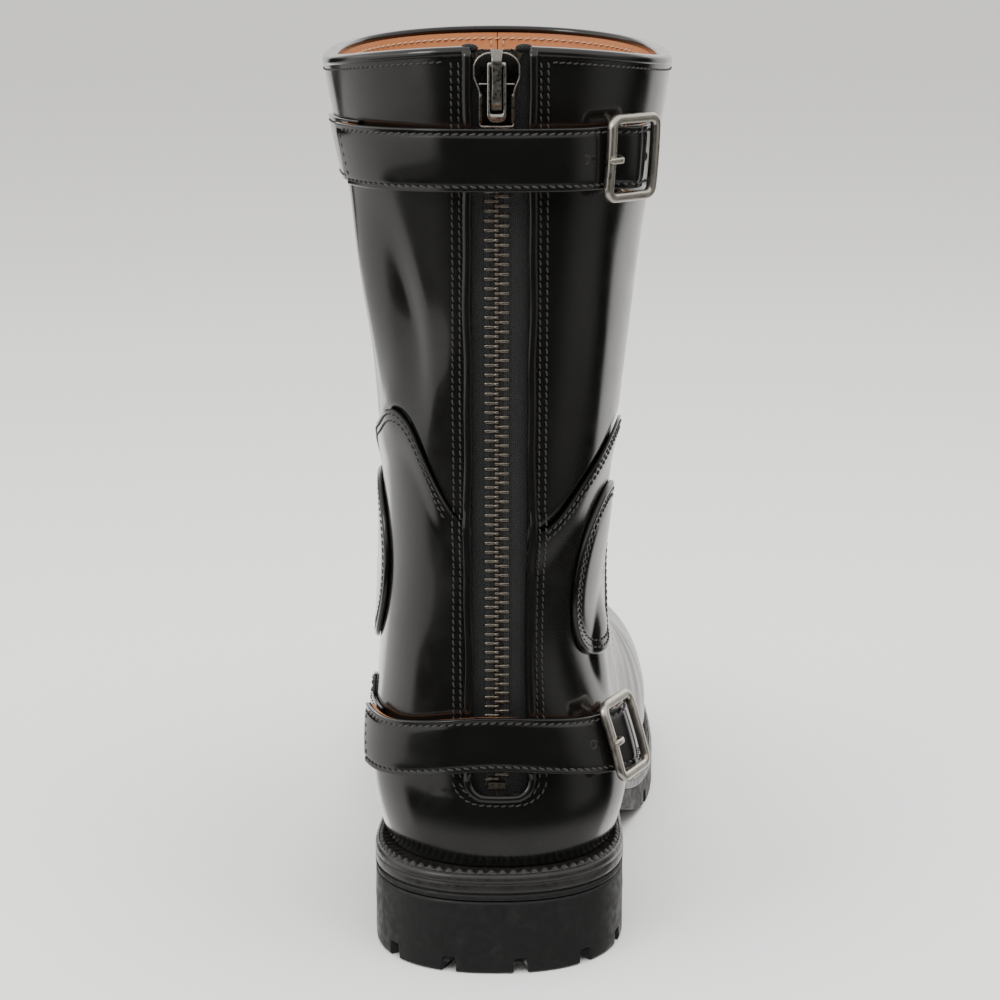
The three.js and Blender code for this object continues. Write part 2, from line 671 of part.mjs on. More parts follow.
// Vamp, its lining and the toe puff, as layers over the foot.
const vampAngles = [-90, -80, -68, -54, -38, -20, 0, 20, 38, 54, 68, 80, 90];
function footLayer(shares, from, to) {
  const layer = (out) => shares.map((s) => vampAngles.map((a) => onFoot(s, a, out)));
  return shell(layer(from), layer(to));
}
const vampShares = [-0.04, 0.06, 0.16, 0.26, 0.37, 0.48, 0.58, 0.68, 0.77, 0.85, 0.93, 1];
piece("vamp", cut(footLayer(vampShares, 0, -upperThickness), behindSeam), polished);
const vampLining = footLayer(vampShares, liningAtFoot, liningAtFoot - liningThickness);
piece("vamp_lining", cut(vampLining, behindSeam), tan);
piece("toe_puff", footLayer(vampShares.slice(7), stiffenerOut, stiffenerOut - stiffenerThickness), board);

// Insole and sock inside the lining.
const insideLining = liningAtFoot - liningThickness - 2 * gap;
const insoleBottom = (y) => feather(y) + 0.2;
const insoleTop = (y) => insoleBottom(y) + insoleThickness;
const upperAtInsole = (x, y) => body(x, y, feather(y) + insoleThickness / 2);
piece("insole", slab(planStations, upperAtInsole, -insideLining, insoleBottom, insoleTop), board);
const sockBottom = (y) => insoleTop(y) + gap;
const sockInset = 2;
piece(
  "sock_liner",
  slab(planStations, upperAtInsole, sockInset - insideLining, sockBottom, (y) => sockBottom(y) + sockThickness),
  tan,
);

// Round patches over the ankle bones, on the same lattice as the quarter under them.
function patch(side, patchAngle) {
  const { point, normal } = legExit(side * patchAngle, patchHeight, 0);
  const first = 10 * Math.round(patchAngle / 10) - 50;
  const angles = evenly(first, first + 100, 10).map((a) => side * a);
  const layer = legLayer(angles, legFoot, quarterTop, quarterShares, layerGap + patchThickness, layerGap);
  const punch = new THREE.CylinderGeometry(patchRadius, patchRadius, 60, 24);
  punch.applyQuaternion(new THREE.Quaternion().setFromUnitVectors(new THREE.Vector3(0, 1, 0), normal));
  punch.translate(point.x, point.y, point.z);
  return meshOf(solid(layer).intersect(solid(punch)));
}
piece("ankle_patch_medial", patch(-1, medialPatchAngle), polished);
piece("ankle_patch_lateral", patch(1, lateralPatchAngle), polished);

// ---- Zip ---------------------------------------------------------------------------------------------------------------------
const zipX = -1; // middle of the chain
const zipY = (out) => backPlane - out; // plane of the straight part of the zip, at an offset of the leather surface
const tapeMiddle = tapeOut - tapeThickness / 2;

// Rolled edge round the opening: a strip that follows its outline, a little outside it.
function slotOutline(away) {
  const r = slotCorner + away;
  const x = slotHalf - slotCorner;
  const z = slotBottom + slotCorner;
  const corner = (side, from, to) =>
    evenly(from, to, 3).map((a) => [side * x + r * Math.cos(rad(a)), z + r * Math.sin(rad(a))]);
  const line = evenly(rim(0) - gap, z, 14);
  return [
    ...line.map((h) => [-slotHalf - away, h]),
    ...corner(-1, 180, 270).slice(1),
    ...corner(1, 270, 360),
    ...line.slice(0, -1).reverse().map((h) => [slotHalf + away, h]),
  ];
}
const pipingRail = (away, out) => slotOutline(away).map(([x, z]) => onBack(x, z, out));
piece(
  "zip_piping",
  shell(
    [pipingRail(0.2, layerGap + pipingThickness), pipingRail(pipingWidth, layerGap + pipingThickness)],
    [pipingRail(0.2, layerGap), pipingRail(pipingWidth, layerGap)],
  ),
  polished,
);

// Top stops clamp the tape beside the slider; the bottom stop closes the chain.
const stopSize = [3.9, 3];
const stopLean = 25;
const stopTool = (side, slack) =>
  new THREE.BoxGeometry(stopSize[0] + 2 * slack, toothThickness - 0.4 + 2 * slack, stopSize[1] + 2 * slack)
    .rotateY(rad(side * stopLean))
    .translate(zipX + side * 5.5, zipY(tapeMiddle), bootHeight - 3.4);
const tapeTop = bootHeight - 4;
const tapeBottom = slotBottom - 5;
const tapeLevels = [tapeBottom, tapeBottom + 6, tapeBottom + 13, tapeBottom + 21, ...evenly(tapeBottom + 31, tapeTop, 9)];
const chainStart = slotBottom + 4.5;
const teethCount = Math.floor((chainTop - chainStart) / toothPitch);
for (const [name, side] of [
  ["left", -1],
  ["right", 1],
]) {
  const level = (out) =>
    tapeLevels.map((z) => [
      behind(zipX + side * (chainHalf + gap), z, out),
      onBack(side * slotHalf, z, out),
      onBack(side * tapeHalf, z, out),
    ]);
  piece("zip_tape_" + name, cut(shell(level(tapeOut), level(tapeOut - tapeThickness)), stopTool(side, gap)), cotton);

  // A row of teeth on one cord: the comb points at the middle of the zip.
  const shift = side > 0 ? toothPitch / 2 : 0;
  const rail = (tips, out) =>
    Array.from({ length: 2 * teethCount }, (_, k) => {
      const z = chainStart + shift + (k * toothPitch) / 2;
      const reach = tips ? (k % 2 ? 0.25 : 1.5) : chainHalf;
      return new THREE.Vector3(zipX + side * reach, backLine(z) - out, z);
    });
  const front = tapeMiddle + toothThickness / 2;
  const rear = tapeMiddle - toothThickness / 2;
  piece("zip_teeth_" + name, shell([rail(false, front), rail(true, front)], [rail(false, rear), rail(true, rear)]), aged);
  piece("top_stop_" + name, stopTool(side, 0), aged);
}
const bottomStop = new THREE.BoxGeometry(5.6, toothThickness, 2.2);
piece("bottom_stop", bottomStop.translate(zipX, backLine(slotBottom) - tapeMiddle, slotBottom + 2.6), aged);

// Slider: a front and a back plate with flanges round the chain, a crown on the front, and the pull tab under the crown.
const sliderTop = bootHeight - 2.6;
const sliderOutline = [
  [0, 3.5],
  [0.12, 6.9],
  [0.34, 6.9],
  [0.58, chainHalf + sliderClearance + sliderPlate],
  [1, chainHalf + sliderClearance + sliderPlate],
];
function sliderPlateShape(from, to) {
  const points = sliderOutline.filter(([share]) => share >= from && share <= to);
  const right = points.map(([share, half]) => new THREE.Vector2(half, sliderTop - share * sliderLength));
  const left = [...right].reverse().map((p) => new THREE.Vector2(-p.x, p.y));
  return new THREE.Shape([...right, ...left]);
}
// Extrudes a shape drawn in x and z between two offsets of the leather surface.
function standing(shape, out0, out1) {
  const geometry = new THREE.ExtrudeGeometry(shape, { depth: out1 - out0, bevelEnabled: false, curveSegments: 6 });
  return geometry.rotateX(Math.PI / 2).translate(zipX, zipY(out0), 0);
}
const flangeReach = (toothThickness - tapeThickness) / 2 - flangeGap;
const flanges = (out0, out1) =>
  [-1, 1].map((side) => {
    const inside = chainHalf + sliderClearance;
    const x = [zipX + side * inside, zipX + side * (inside + sliderPlate - 0.05)].sort((a, b) => a - b);
    return boxAt(...x, zipY(out1), zipY(out0), sliderTop - sliderLength + 0.05, sliderTop - 0.6 * sliderLength);
  });
const plateInner = tapeMiddle + toothThickness / 2 + sliderClearance;
const plateOuter = plateInner + sliderPlate;
const plate = (out0, out1) => standing(sliderPlateShape(0, 1), out0, out1);
piece("slider_body", join(plate(plateInner, plateOuter), ...flanges(plateInner - flangeReach, plateInner + 0.2)), aged);
const backOuter = tapeMiddle - toothThickness / 2 - rearClearance;
const rearFlanges = flanges(backOuter - 0.2, backOuter + flangeReach);
piece("slider_back_plate", join(plate(backOuter - sliderPlate, backOuter), ...rearFlanges), aged);

// The crown is an arch over the front plate; the tab's pin turns under it.
const crownHalf = 1.7;
const crownTop = sliderTop + 1;
const crownBottom = crownTop - 18.6;
const crownRise = 3.6;
const crownFoot = 1.6;
const crownOut = plateOuter + gap;
// Lays a geometry drawn in its own x, y, z along u, v and u cross v, from an origin.
function inFrame(geometry, origin, u, v) {
  const basis = new THREE.Matrix4().makeBasis(u, v, new THREE.Vector3().crossVectors(u, v)).setPosition(origin);
  return geometry.applyMatrix4(basis);
}
const shapeOf = (points) => new THREE.Shape(points.map(([x, y]) => new THREE.Vector2(x, y)));
const extrude = (shape, depth) => new THREE.ExtrudeGeometry(shape, { depth, bevelEnabled: false, curveSegments: 6 });
const outward = new THREE.Vector3(0, -1, 0);
const upward = new THREE.Vector3(0, 0, 1);
// Points of the crown are [rise above the front plate, height].
const crown = shapeOf([
  [gap, crownTop],
  [crownRise * 0.7, crownTop],
  [crownRise, crownTop - 1.4],
  [crownRise, crownBottom + 2.5],
  [crownRise / 2, crownBottom],
  [gap, crownBottom],
  [gap, crownBottom + crownFoot],
  [crownRise - 1.3, crownBottom + crownFoot + 1],
  [crownRise - 1.3, crownTop - crownFoot - 1],
  [gap, crownTop - crownFoot - 1],
]);
const onPlate = new THREE.Vector3(zipX + crownHalf, zipY(plateOuter), 0);
piece("slider_crown", inFrame(extrude(crown, 2 * crownHalf), onPlate, outward, upward), aged);

const tabHalf = 2.9;
const tabThickness = 1.2;
const tabLift = 0.4; // clear of the front plate
const tabPin = crownTop - 4.3; // height of the pin, under the arch
const tabSlotBottom = crownBottom - 0.4;
const tabBottom = tabSlotBottom - 2.6;
const tabShape = new THREE.Shape();
tabShape.moveTo(tabHalf, tabPin + 0.7);
tabShape.lineTo(-tabHalf, tabPin + 0.7);
tabShape.lineTo(-tabHalf, tabBottom + 1.6);
tabShape.quadraticCurveTo(-tabHalf, tabBottom, -tabHalf + 1.6, tabBottom);
tabShape.lineTo(tabHalf - 1.6, tabBottom);
tabShape.quadraticCurveTo(tabHalf, tabBottom, tabHalf, tabBottom + 1.6);
tabShape.closePath();
const tabSlot = new THREE.Path();
const tabSlotHalf = crownHalf + gap;
tabSlot.moveTo(tabSlotHalf, tabPin - 0.7);
tabSlot.lineTo(tabSlotHalf, tabSlotBottom);
tabSlot.lineTo(-tabSlotHalf, tabSlotBottom);
tabSlot.lineTo(-tabSlotHalf, tabPin - 0.7);
tabSlot.closePath();
tabShape.holes.push(tabSlot);
piece("pull_tab", standing(tabShape, plateOuter + tabLift, plateOuter + tabLift + tabThickness), aged);

// ---- Straps and buckles --------------------------------------------------------------------------------------------------------
// A buckle's own frame: u forward along the strap, v up, n out of the leather, from a point on the leather.
function buckleFrame(angle, height) {
  const { point, normal } = legExit(angle, height, 0);
  const u = new THREE.Vector3().crossVectors(upward, normal).normalize();
  const v = new THREE.Vector3().crossVectors(normal, u);
  return { point, u, v, normal };
}
const chapeReach = 24; // from the centre bar to the sewn end of the chape
const barHeight = chapeGap + chapeThickness + gap + centreBarRadius; // centre bar above the leather
const strapTotal = strapBacking + gap + strapOuter;
const loopTop = barHeight + centreBarRadius + gap + chapeThickness;
const strapAtBar = loopTop + 2 * gap; // the strap rides over the chape's loop
const strapBesideBar = strapAtBar - 2.3; // and under the two side bars
const frameLift = strapBesideBar + strapTotal + gap + frameDepth / 2; // frame's middle above the leather
const holeSlot = [-8.6, -0.9];

function strapAndBuckle(name, places) {
  const { bucklePlace, sewnPlace, height, standOff } = places;
  const frame = buckleFrame(bucklePlace, height(bucklePlace));
  // Angle at which the strap passes a given u, found at the strap's own distance from the leather.
  const at = (u) => {
    let low = bucklePlace - 60;
    let high = bucklePlace + 60;
    for (let i = 0; i < 24; i++) {
      const middle = (low + high) / 2;
      const p = onLeg(middle, height(bucklePlace), strapAtBar).sub(frame.point);
      if (p.dot(frame.u) < u) low = middle;
      else high = middle;
    }
    return (low + high) / 2;
  };
  const lift = spline([
    [sewnPlace, layerGap],
    [mix(sewnPlace, 0, 0.3), layerGap + 0.15 * standOff],
    [-14, standOff],
    [14, standOff],
    [at(-frameWidth / 2 - 4), mix(standOff, strapBesideBar, 0.6)],
    [at(-frameWidth / 2 + 1.5), strapBesideBar],
    [at(0), strapAtBar + 0.1],
    [at(frameWidth / 2 - 1.5), strapBesideBar],
    [at(frameWidth / 2 + 4), strapBesideBar],
  ]);
  const angles = [
    ...evenly(sewnPlace, at(-frameWidth / 2 - 4), 14),
    ...[-frameWidth / 2 - 1, -frameWidth / 2 + 1.5, -6, -3.5, -1.5, 1.5, 3.5, 6, frameWidth / 2 - 1.5].map(at),
    at(frameWidth / 2 + 4),
  ];
  const band = (low, high, half) =>
    legLayer(
      angles,
      (a) => height(a) - half * frame.v.z,
      (a) => height(a) + half * frame.v.z,
      [0, 0.5, 1],
      (a) => lift(a) + high,
      (a) => lift(a) + low,
    );
  const hole = inFrame(boxAt(holeSlot[0], holeSlot[1], -1.6, 1.6, 0, 14), frame.point, frame.u, frame.v);
  piece(name + "_strap", cut(band(strapBacking + gap, strapTotal, strapWidth / 2), hole), polished);
  piece(name + "_strap_lining", cut(band(0, strapBacking, strapWidth / 2), hole), tan);

  // Profiles in u and n are extruded along v.
  const acrossStrap = (shape, width) => {
    const origin = frame.point.clone().addScaledVector(frame.v, width / 2);
    return inFrame(extrude(shape, width), origin, frame.u, frame.normal);
  };
  const ring = (outer, inner) => {
    const shape = new THREE.Shape().absarc(0, barHeight, outer, 0, 2 * Math.PI, false);
    shape.holes.push(new THREE.Path().absarc(0, barHeight, inner, 0, 2 * Math.PI, true));
    return shape;
  };
  const chapeHalf = strapWidth / 2 - 0.8;
  const loop = acrossStrap(ring(loopTop - barHeight, centreBarRadius + gap), 2 * chapeHalf);
  const tailAngles = evenly(at(0), at(chapeReach), 4);
  const tail = legLayer(
    tailAngles,
    (a) => height(bucklePlace) - chapeHalf * 0.98,
    (a) => height(bucklePlace) + chapeHalf * 0.98,
    [0, 0.5, 1],
    chapeGap + chapeThickness,
    chapeGap,
  );
  const prongSlot = inFrame(boxAt(-4, 2.8, -prongWidth / 2 - gap, prongWidth / 2 + gap, 0, 9), frame.point, frame.u, frame.v);
  const barHole = acrossStrap(new THREE.Shape().absarc(0, barHeight, centreBarRadius + gap, 0, 2 * Math.PI, false), 30);
  piece(name + "_chape", cut(join(loop, tail), prongSlot, barHole), polished);

  // Frame: a rounded ring with a lowered centre bar between two lugs.
  const corner = 3;
  const rounded = (w, h, r, Kind) => {
    const path = new Kind();
    path.absarc(w - r, h - r, r, 0, Math.PI / 2, false);
    path.absarc(-w + r, h - r, r, Math.PI / 2, Math.PI, false);
    path.absarc(-w + r, -h + r, r, Math.PI, 1.5 * Math.PI, false);
    path.absarc(w - r, -h + r, r, 1.5 * Math.PI, 2 * Math.PI, false);
    path.closePath();
    return path;
  };
  const outline = rounded(frameWidth / 2, frameHeight / 2, corner, THREE.Shape);
  outline.holes.push(rounded(frameWidth / 2 - frameBar, frameHeight / 2 - frameBar, 1, THREE.Path));
  const ringPart = extrude(outline, frameDepth).translate(0, 0, frameLift - frameDepth / 2);
  const bar = new THREE.CylinderGeometry(centreBarRadius, centreBarRadius, frameHeight - 2, 10).translate(0, 0, barHeight);
  const lugs = [-1, 1].map((side) => {
    const v = [side * (frameHeight / 2 - 0.6), side * (frameHeight / 2 - frameBar + 0.2)].sort((a, b) => a - b);
    return boxAt(-1.3, 1.3, ...v, barHeight - centreBarRadius - 0.2, frameLift);
  });
  const buckle = [ringPart, bar, ...lugs].map((g) => inFrame(g, frame.point, frame.u, frame.v));
  piece(name + "_buckle", join(...buckle), nickel);

  // Prong: an eye round the centre bar and a shank through the strap, resting on the near side bar.
  const rest = frameLift + frameDepth / 2 + gap;
  const start = barHeight + centreBarRadius + gap + 0.2;
  const shank = shapeOf([
    [-0.4, start],
    [-1.9, start - 0.9],
    [-7, rest + 0.1],
    [-frameWidth / 2 - 1.4, rest],
    [-frameWidth / 2 - 1.4, rest + 0.8],
    [-frameWidth / 2 - 0.4, rest + prongDepth],
    [-6.2, rest + prongDepth],
  ]);
  const eye = acrossStrap(ring(centreBarRadius + gap + 0.9, centreBarRadius + gap), prongWidth);
  piece(name + "_prong", cut(join(eye, acrossStrap(shank, prongWidth)), barHole), nickel);
}
strapAndBuckle("upper", {
  bucklePlace: 41,
  sewnPlace: -86,
  height: () => upperStrapHeight,
  standOff: strapStandOff,
});
strapAndBuckle("lower", {
  bucklePlace: 46,
  sewnPlace: -84,
  height: (angle) => lowerStrapHeight - 6 * smooth(Math.abs(angle) / 45),
  standOff: strapStandOff / 2,
});

export default boot;
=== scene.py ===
# %% [markdown]
# # A back-zip leather boot
# The part that comes from the workshop drawing is exact in size but plain. Here each piece gets the surface of the
# real thing: polished leather with creases and seams, a metal zip, nickel buckles and a stitched welt.
# Every piece is a surface worked out with numpy: a grid of points from a formula, handed to Blender as a mesh.

import json
import math

import bpy
import numpy as np
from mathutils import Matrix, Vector


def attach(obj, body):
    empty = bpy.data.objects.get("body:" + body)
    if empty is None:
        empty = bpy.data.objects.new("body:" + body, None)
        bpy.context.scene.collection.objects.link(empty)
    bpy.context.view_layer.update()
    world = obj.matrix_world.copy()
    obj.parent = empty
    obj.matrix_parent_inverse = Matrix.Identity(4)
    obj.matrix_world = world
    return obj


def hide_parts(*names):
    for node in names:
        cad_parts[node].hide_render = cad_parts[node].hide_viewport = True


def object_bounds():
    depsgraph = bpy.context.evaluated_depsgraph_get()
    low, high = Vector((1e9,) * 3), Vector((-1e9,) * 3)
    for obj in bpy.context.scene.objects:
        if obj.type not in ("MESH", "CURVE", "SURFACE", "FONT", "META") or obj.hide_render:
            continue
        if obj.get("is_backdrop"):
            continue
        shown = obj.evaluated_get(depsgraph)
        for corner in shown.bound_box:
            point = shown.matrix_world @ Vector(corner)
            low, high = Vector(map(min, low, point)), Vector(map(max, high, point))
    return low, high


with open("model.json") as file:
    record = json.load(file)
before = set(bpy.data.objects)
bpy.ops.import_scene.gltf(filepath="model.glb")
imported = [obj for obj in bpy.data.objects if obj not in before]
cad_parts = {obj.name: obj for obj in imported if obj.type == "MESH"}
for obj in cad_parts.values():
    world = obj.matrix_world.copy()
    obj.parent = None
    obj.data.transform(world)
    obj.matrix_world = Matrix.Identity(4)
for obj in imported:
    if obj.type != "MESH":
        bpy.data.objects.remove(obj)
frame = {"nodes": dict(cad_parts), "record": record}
cad_low, cad_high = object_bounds()
MM = 0.001  # lengths below are in millimetres, and become metres when a mesh is made
print("CAD box in mm:", [round(v / MM) for v in (*cad_low, *cad_high)])

# %% [markdown]
# ## Smooth curves
# Boot makers draw a last with a few measured sections and a flexible strip bent through them. A natural cubic spline is
# that strip in numbers: it passes through each point and bends as little as it can.


# %% Splines and mixing
def spline(points):
    """Natural cubic spline: between two knots, the straight line plus a sixth of the bend at each end times the cubed
    share of the way less the share. Straight beyond the ends."""
    x, y = np.array(points, float).T
    n = len(x)
    h = np.diff(x)
    system = np.eye(n)
    right = np.zeros(n)
    for i in range(1, n - 1):
        system[i, i - 1 : i + 2] = h[i - 1], 2 * (h[i - 1] + h[i]), h[i]
        right[i] = 6 * ((y[i + 1] - y[i]) / h[i] - (y[i] - y[i - 1]) / h[i - 1])
    bend = np.linalg.solve(system, right)
    first = (y[1] - y[0]) / h[0] - h[0] * bend[1] / 6
    last = (y[-1] - y[-2]) / h[-1] + h[-1] * bend[-2] / 6

    def at(t):
        t = np.asarray(t, float)
        c = np.clip(t, x[0], x[-1])
        i = np.clip(np.searchsorted(x, c) - 1, 0, n - 2)
        a = (x[i + 1] - c) / h[i]
        b = 1 - a
        value = a * y[i] + b * y[i + 1] + ((a**3 - a) * bend[i] + (b**3 - b) * bend[i + 1]) * h[i] ** 2 / 6
        return value + np.minimum(t - x[0], 0) * first + np.maximum(t - x[-1], 0) * last

    return at


def mix(a, b, t):
    return a + (b - a) * t


def smooth(t):
    """Three times the square less twice the cube of the share, held between 0 and 1."""
    s = np.clip(t, 0, 1)
    return s * s * (3 - 2 * s)


def smoother(t):
    s = np.clip(t, 0, 1)
    return s**3 * (10 + s * (6 * s - 15))


def hump(t):
    """A bell: one in the middle, near nothing one and a half widths away."""
    return np.exp(-(t**2))


# %% Main sizes, as in the CAD source
BOOT_HEIGHT = 297
SOLE_LENGTH = 304
HEEL_EDGE = -40
TOPLINE_DIP = 5.5
BACK_PLANE = HEEL_EDGE + 8
SLOT_HALF = 9.3
SLOT_BOTTOM = 59
ZIP_X = -1
WELT_LEDGE = 3


def along(share):
    """Distance along the sole, from its share of the length."""
    return HEEL_EDGE + share * SOLE_LENGTH


HEEL_PIVOT = HEEL_EDGE + 45
TOE_PIVOT = along(0.78)
HEEL_FRONT = HEEL_EDGE + 78
BALL = along(0.56)
HEEL_HALF, BALL_HALF = 41.5, 53
sole_half = spline([
    (HEEL_PIVOT, HEEL_HALF), (along(0.24), HEEL_HALF - 1.4), (along(0.35), HEEL_HALF - 2.5),
    (along(0.46), mix(HEEL_HALF, BALL_HALF, 0.2)), (along(0.57), mix(HEEL_HALF, BALL_HALF, 0.82)),
    (along(0.68), BALL_HALF), (along(0.8), BALL_HALF - 1), (along(1), BALL_HALF - 7),
])
sole_centre = spline([
    (HEEL_PIVOT, 0), (along(0.24), 1.2), (along(0.35), 4.2), (along(0.46), 6.6), (along(0.62), 7.4), (along(0.8), 7),
    (along(1), 7.5),
])


def midsole_bottom(y):
    """Level over the heel block, down to the tread at the ball, then up by the square of the way to the toe."""
    down = mix(27.5, 10.3, smoother((y - HEEL_FRONT) / (BALL - HEEL_FRONT)))
    return down + 8 * np.clip((y - BALL) / (along(1) - BALL), 0, 2) ** 2


def feather(y):
    """Height of the line where the upper meets the welt."""
    return midsole_bottom(y) + 6.6


print("welt stands", round(float(feather(HEEL_EDGE)), 1), "mm above the floor at the heel")

# %% [markdown]
# ## The body of the boot
# The upper is a leg and a foot melted together. Each is a field, a number at every point in space that is negative
# inside and positive outside. A smooth minimum of the two gives the rounded turn at the ankle. To put a piece of
# leather on the body, a ray is sent out from inside, and halving its length again and again finds the surface.

# %% The leg and foot fields
HEEL_SEAT = float(feather(HEEL_EDGE))


def leg_z(share):
    return mix(HEEL_SEAT, BOOT_HEIGHT, share)


front_line = spline([(leg_z(s), y) for s, y in
                     [(0, 62), (0.12, 62), (0.27, 72), (0.37, 78), (0.5, 82), (0.7, 87), (1, BACK_PLANE + 128)]])
leg_half = spline([(leg_z(s), w) for s, w in
                   [(0, 39), (0.04, 41.8), (0.1, 43), (0.19, 38.4), (0.28, 35.6), (0.42, 37.2), (0.56, 40.4),
                    (0.68, mix(39, 57.6, 0.26)), (0.8, mix(39, 57.6, 0.5)), (0.92, mix(39, 57.6, 0.83)), (1, 57.6)]])
leg_centre = spline([(leg_z(s), x) for s, x in
                     [(0, 0), (0.1, -0.4), (0.19, -3), (0.27, -4.4), (0.37, -2.6), (0.5, -0.8), (1, -1)]])
foot_ridge = spline([(along(s), 44 + h) for s, h in
                     [(0.1, 84), (0.2, 76), (0.33, 61), (0.43, 46), (0.53, 29), (0.66, 13), (0.79, 5), (0.9, 2), (1, 0)]])
TOE_START, TOE_END = along(0.73), along(1) - WELT_LEDGE


def back_line(z):
    return BACK_PLANE - 3.2 * np.exp(-(((z - leg_z(0.06)) / 17) ** 2))


def leg_field(x, y, z):
    """A superellipse round the leg at each height: the power mean of the two distances from the middle, less one."""
    front, back = front_line(z), back_line(z)
    half = leg_half(z)
    across = np.abs((x - leg_centre(z)) / half) ** 2.3
    deep = np.abs((y - (front + back) / 2) / ((front - back) / 2)) ** 2.3
    return ((across + deep) ** (1 / 2.3) - 1) * half


def foot_field(x, y, z):
    """An arch over the sole at each distance along it, closed in front by the toe and behind inside the leg."""
    half = sole_half(y) - WELT_LEDGE
    up = z - feather(y) - 14
    tall = np.where(up > 0, up / (foot_ridge(y) - 14), up / 38)
    end = np.maximum(0, np.maximum((y - TOE_START) / (TOE_END - TOE_START), (15 - y) / 32))
    across = np.abs((x - sole_centre(y)) / half) ** 2.25
    return ((across + np.abs(tall) ** 2.1 + end**2.5) ** (1 / 2.25) - 1) * half


def body(x, y, z):
    """Smooth minimum of leg and foot: the smaller, less a cubic fillet where they are nearly equal."""
    a, b = leg_field(x, y, z), foot_field(x, y, z)
    fillet = 1 + 34 * smoother(y / 60)
    near = np.maximum(fillet - np.abs(a - b), 0) / fillet
    return np.minimum(a, b) - near**3 * fillet / 6


def unit(v):
    return v / np.maximum(np.linalg.norm(v, axis=-1, keepdims=True), 1e-9)


def leave(start, toward, steps=26):
    """Points where rays leave the body, and the outward normals there: the span is halved until it is tiny."""
    start, toward = np.broadcast_arrays(np.asarray(start, float), toward)
    inside = np.zeros(start.shape[:-1])
    outside = np.full(start.shape[:-1], 340.0)
    for _ in range(steps):
        middle = (inside + outside) / 2
        p = start + toward * middle[..., None]
        within = body(p[..., 0], p[..., 1], p[..., 2]) < 0
        inside = np.where(within, middle, inside)
        outside = np.where(within, outside, middle)
    p = start + toward * inside[..., None]
    x, y, z = p[..., 0], p[..., 1], p[..., 2]
    e = 0.05
    normal = np.stack([body(x + e, y, z) - body(x - e, y, z), body(x, y + e, z) - body(x, y - e, z),
                       body(x, y, z + e) - body(x, y, z - e)], -1)
    return p, unit(normal)


def on_leg(angle, z):
    """Round the leg: angle in degrees from the back, positive towards the outer side."""
    angle, z = np.broadcast_arrays(np.asarray(angle, float), np.asarray(z, float))
    a = np.radians(angle)
    start = np.stack([leg_centre(z), np.full(z.shape, 22.0), z], -1)
    return leave(start, np.stack([np.sin(a), -np.cos(a), np.zeros(z.shape)], -1))


def on_back(x, z):
    """Straight out of the back, at a chosen x."""
    x, z = np.broadcast_arrays(np.asarray(x, float), np.asarray(z, float))
    start = np.stack([x, np.full(z.shape, 22.0), z], -1)
    return leave(start, np.array([0.0, -1.0, 0.0]))


SEAM_Y, SEAM_LEAN = 62, 17
VAMP_END = along(0.89)
toe_lean = 90 - math.degrees(math.atan2(feather(TOE_END) - feather(VAMP_END), TOE_END - VAMP_END))


def on_foot(share, angle):
    """Over the foot in planes that lean back at the instep and lie down at the toe. Share 0 is the seam."""
    share, angle = np.broadcast_arrays(np.asarray(share, float), np.asarray(angle, float))
    y = mix(SEAM_Y, VAMP_END, share)
    lean = np.radians(mix(mix(SEAM_LEAN, 4, smooth(share / 0.4)), toe_lean, np.clip((share - 0.5) / 0.5, 0, 1) ** 1.5))
    a = np.radians(angle)
    toward = np.stack([np.sin(a), np.cos(a) * np.sin(lean), np.cos(a) * np.cos(lean)], -1)
    return leave(np.stack([sole_centre(y), y, feather(y) + 0.4], -1), toward)


print("ankle is", round(float(on_leg(90, 121)[0][0] - on_leg(-90, 121)[0][0])), "mm wide")

# %% [markdown]
# ## From points to meshes
# A piece of leather is two grids of points, its outside and its inside, joined along the four edges. A bead, a bar or
# a rolled edge is a closed profile carried along a path. These two helpers make almost everything here.


# %% Mesh helpers
def make_mesh(name, points, quads, finish, body_name, stands_for=(), smooth_faces=True):
    """A mesh object from an array of points in millimetres and an array of faces, riding on a body."""
    data = bpy.data.meshes.new(name)
    points = np.asarray(points, float).reshape(-1, 3) * MM
    quads = np.asarray(quads, int)
    data.vertices.add(len(points))
    data.vertices.foreach_set("co", points.ravel())
    data.loops.add(quads.size)
    data.loops.foreach_set("vertex_index", quads.ravel())
    data.polygons.add(len(quads))
    data.polygons.foreach_set("loop_start", np.arange(0, quads.size, quads.shape[1]))
    data.polygons.foreach_set("use_smooth", np.full(len(quads), smooth_faces))
    data.update(calc_edges=True)
    data.validate()
    piece = bpy.data.objects.new(name, data)
    bpy.context.scene.collection.objects.link(piece)
    data.materials.append(finish)
    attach(piece, body_name)
    if stands_for:
        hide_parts(*([stands_for] if isinstance(stands_for, str) else stands_for))
    return piece


def grid_faces(rows, columns, offset=0, wrap=False):
    """The quads of a grid numbered row by row, facing the side from which columns run right and rows run up."""
    i, j = np.meshgrid(np.arange(rows - 1), np.arange(columns if wrap else columns - 1), indexing="ij")
    k = (j + 1) % columns
    return offset + np.stack([i * columns + j, i * columns + k, (i + 1) * columns + k, (i + 1) * columns + j], -1).reshape(-1, 4)


def shell_faces(rows, columns, wrap=False):
    """Faces of two grids, outside then inside, joined along their edges."""
    size = rows * columns
    faces = [grid_faces(rows, columns, 0, wrap), grid_faces(rows, columns, size, wrap)[:, ::-1]]

    def edge(line):
        line = np.append(line, line[0]) if wrap and line[-1] - line[0] == columns - 1 else line
        a, b = line[:-1], line[1:]
        return np.stack([a, a + size, b + size, b], -1)

    index = np.arange(size).reshape(rows, columns)
    faces.append(edge(index[0]))
    faces.append(edge(index[-1])[:, ::-1])
    if not wrap:
        faces.append(edge(index[:, 0])[:, ::-1])
        faces.append(edge(index[:, -1]))
    return np.concatenate(faces)


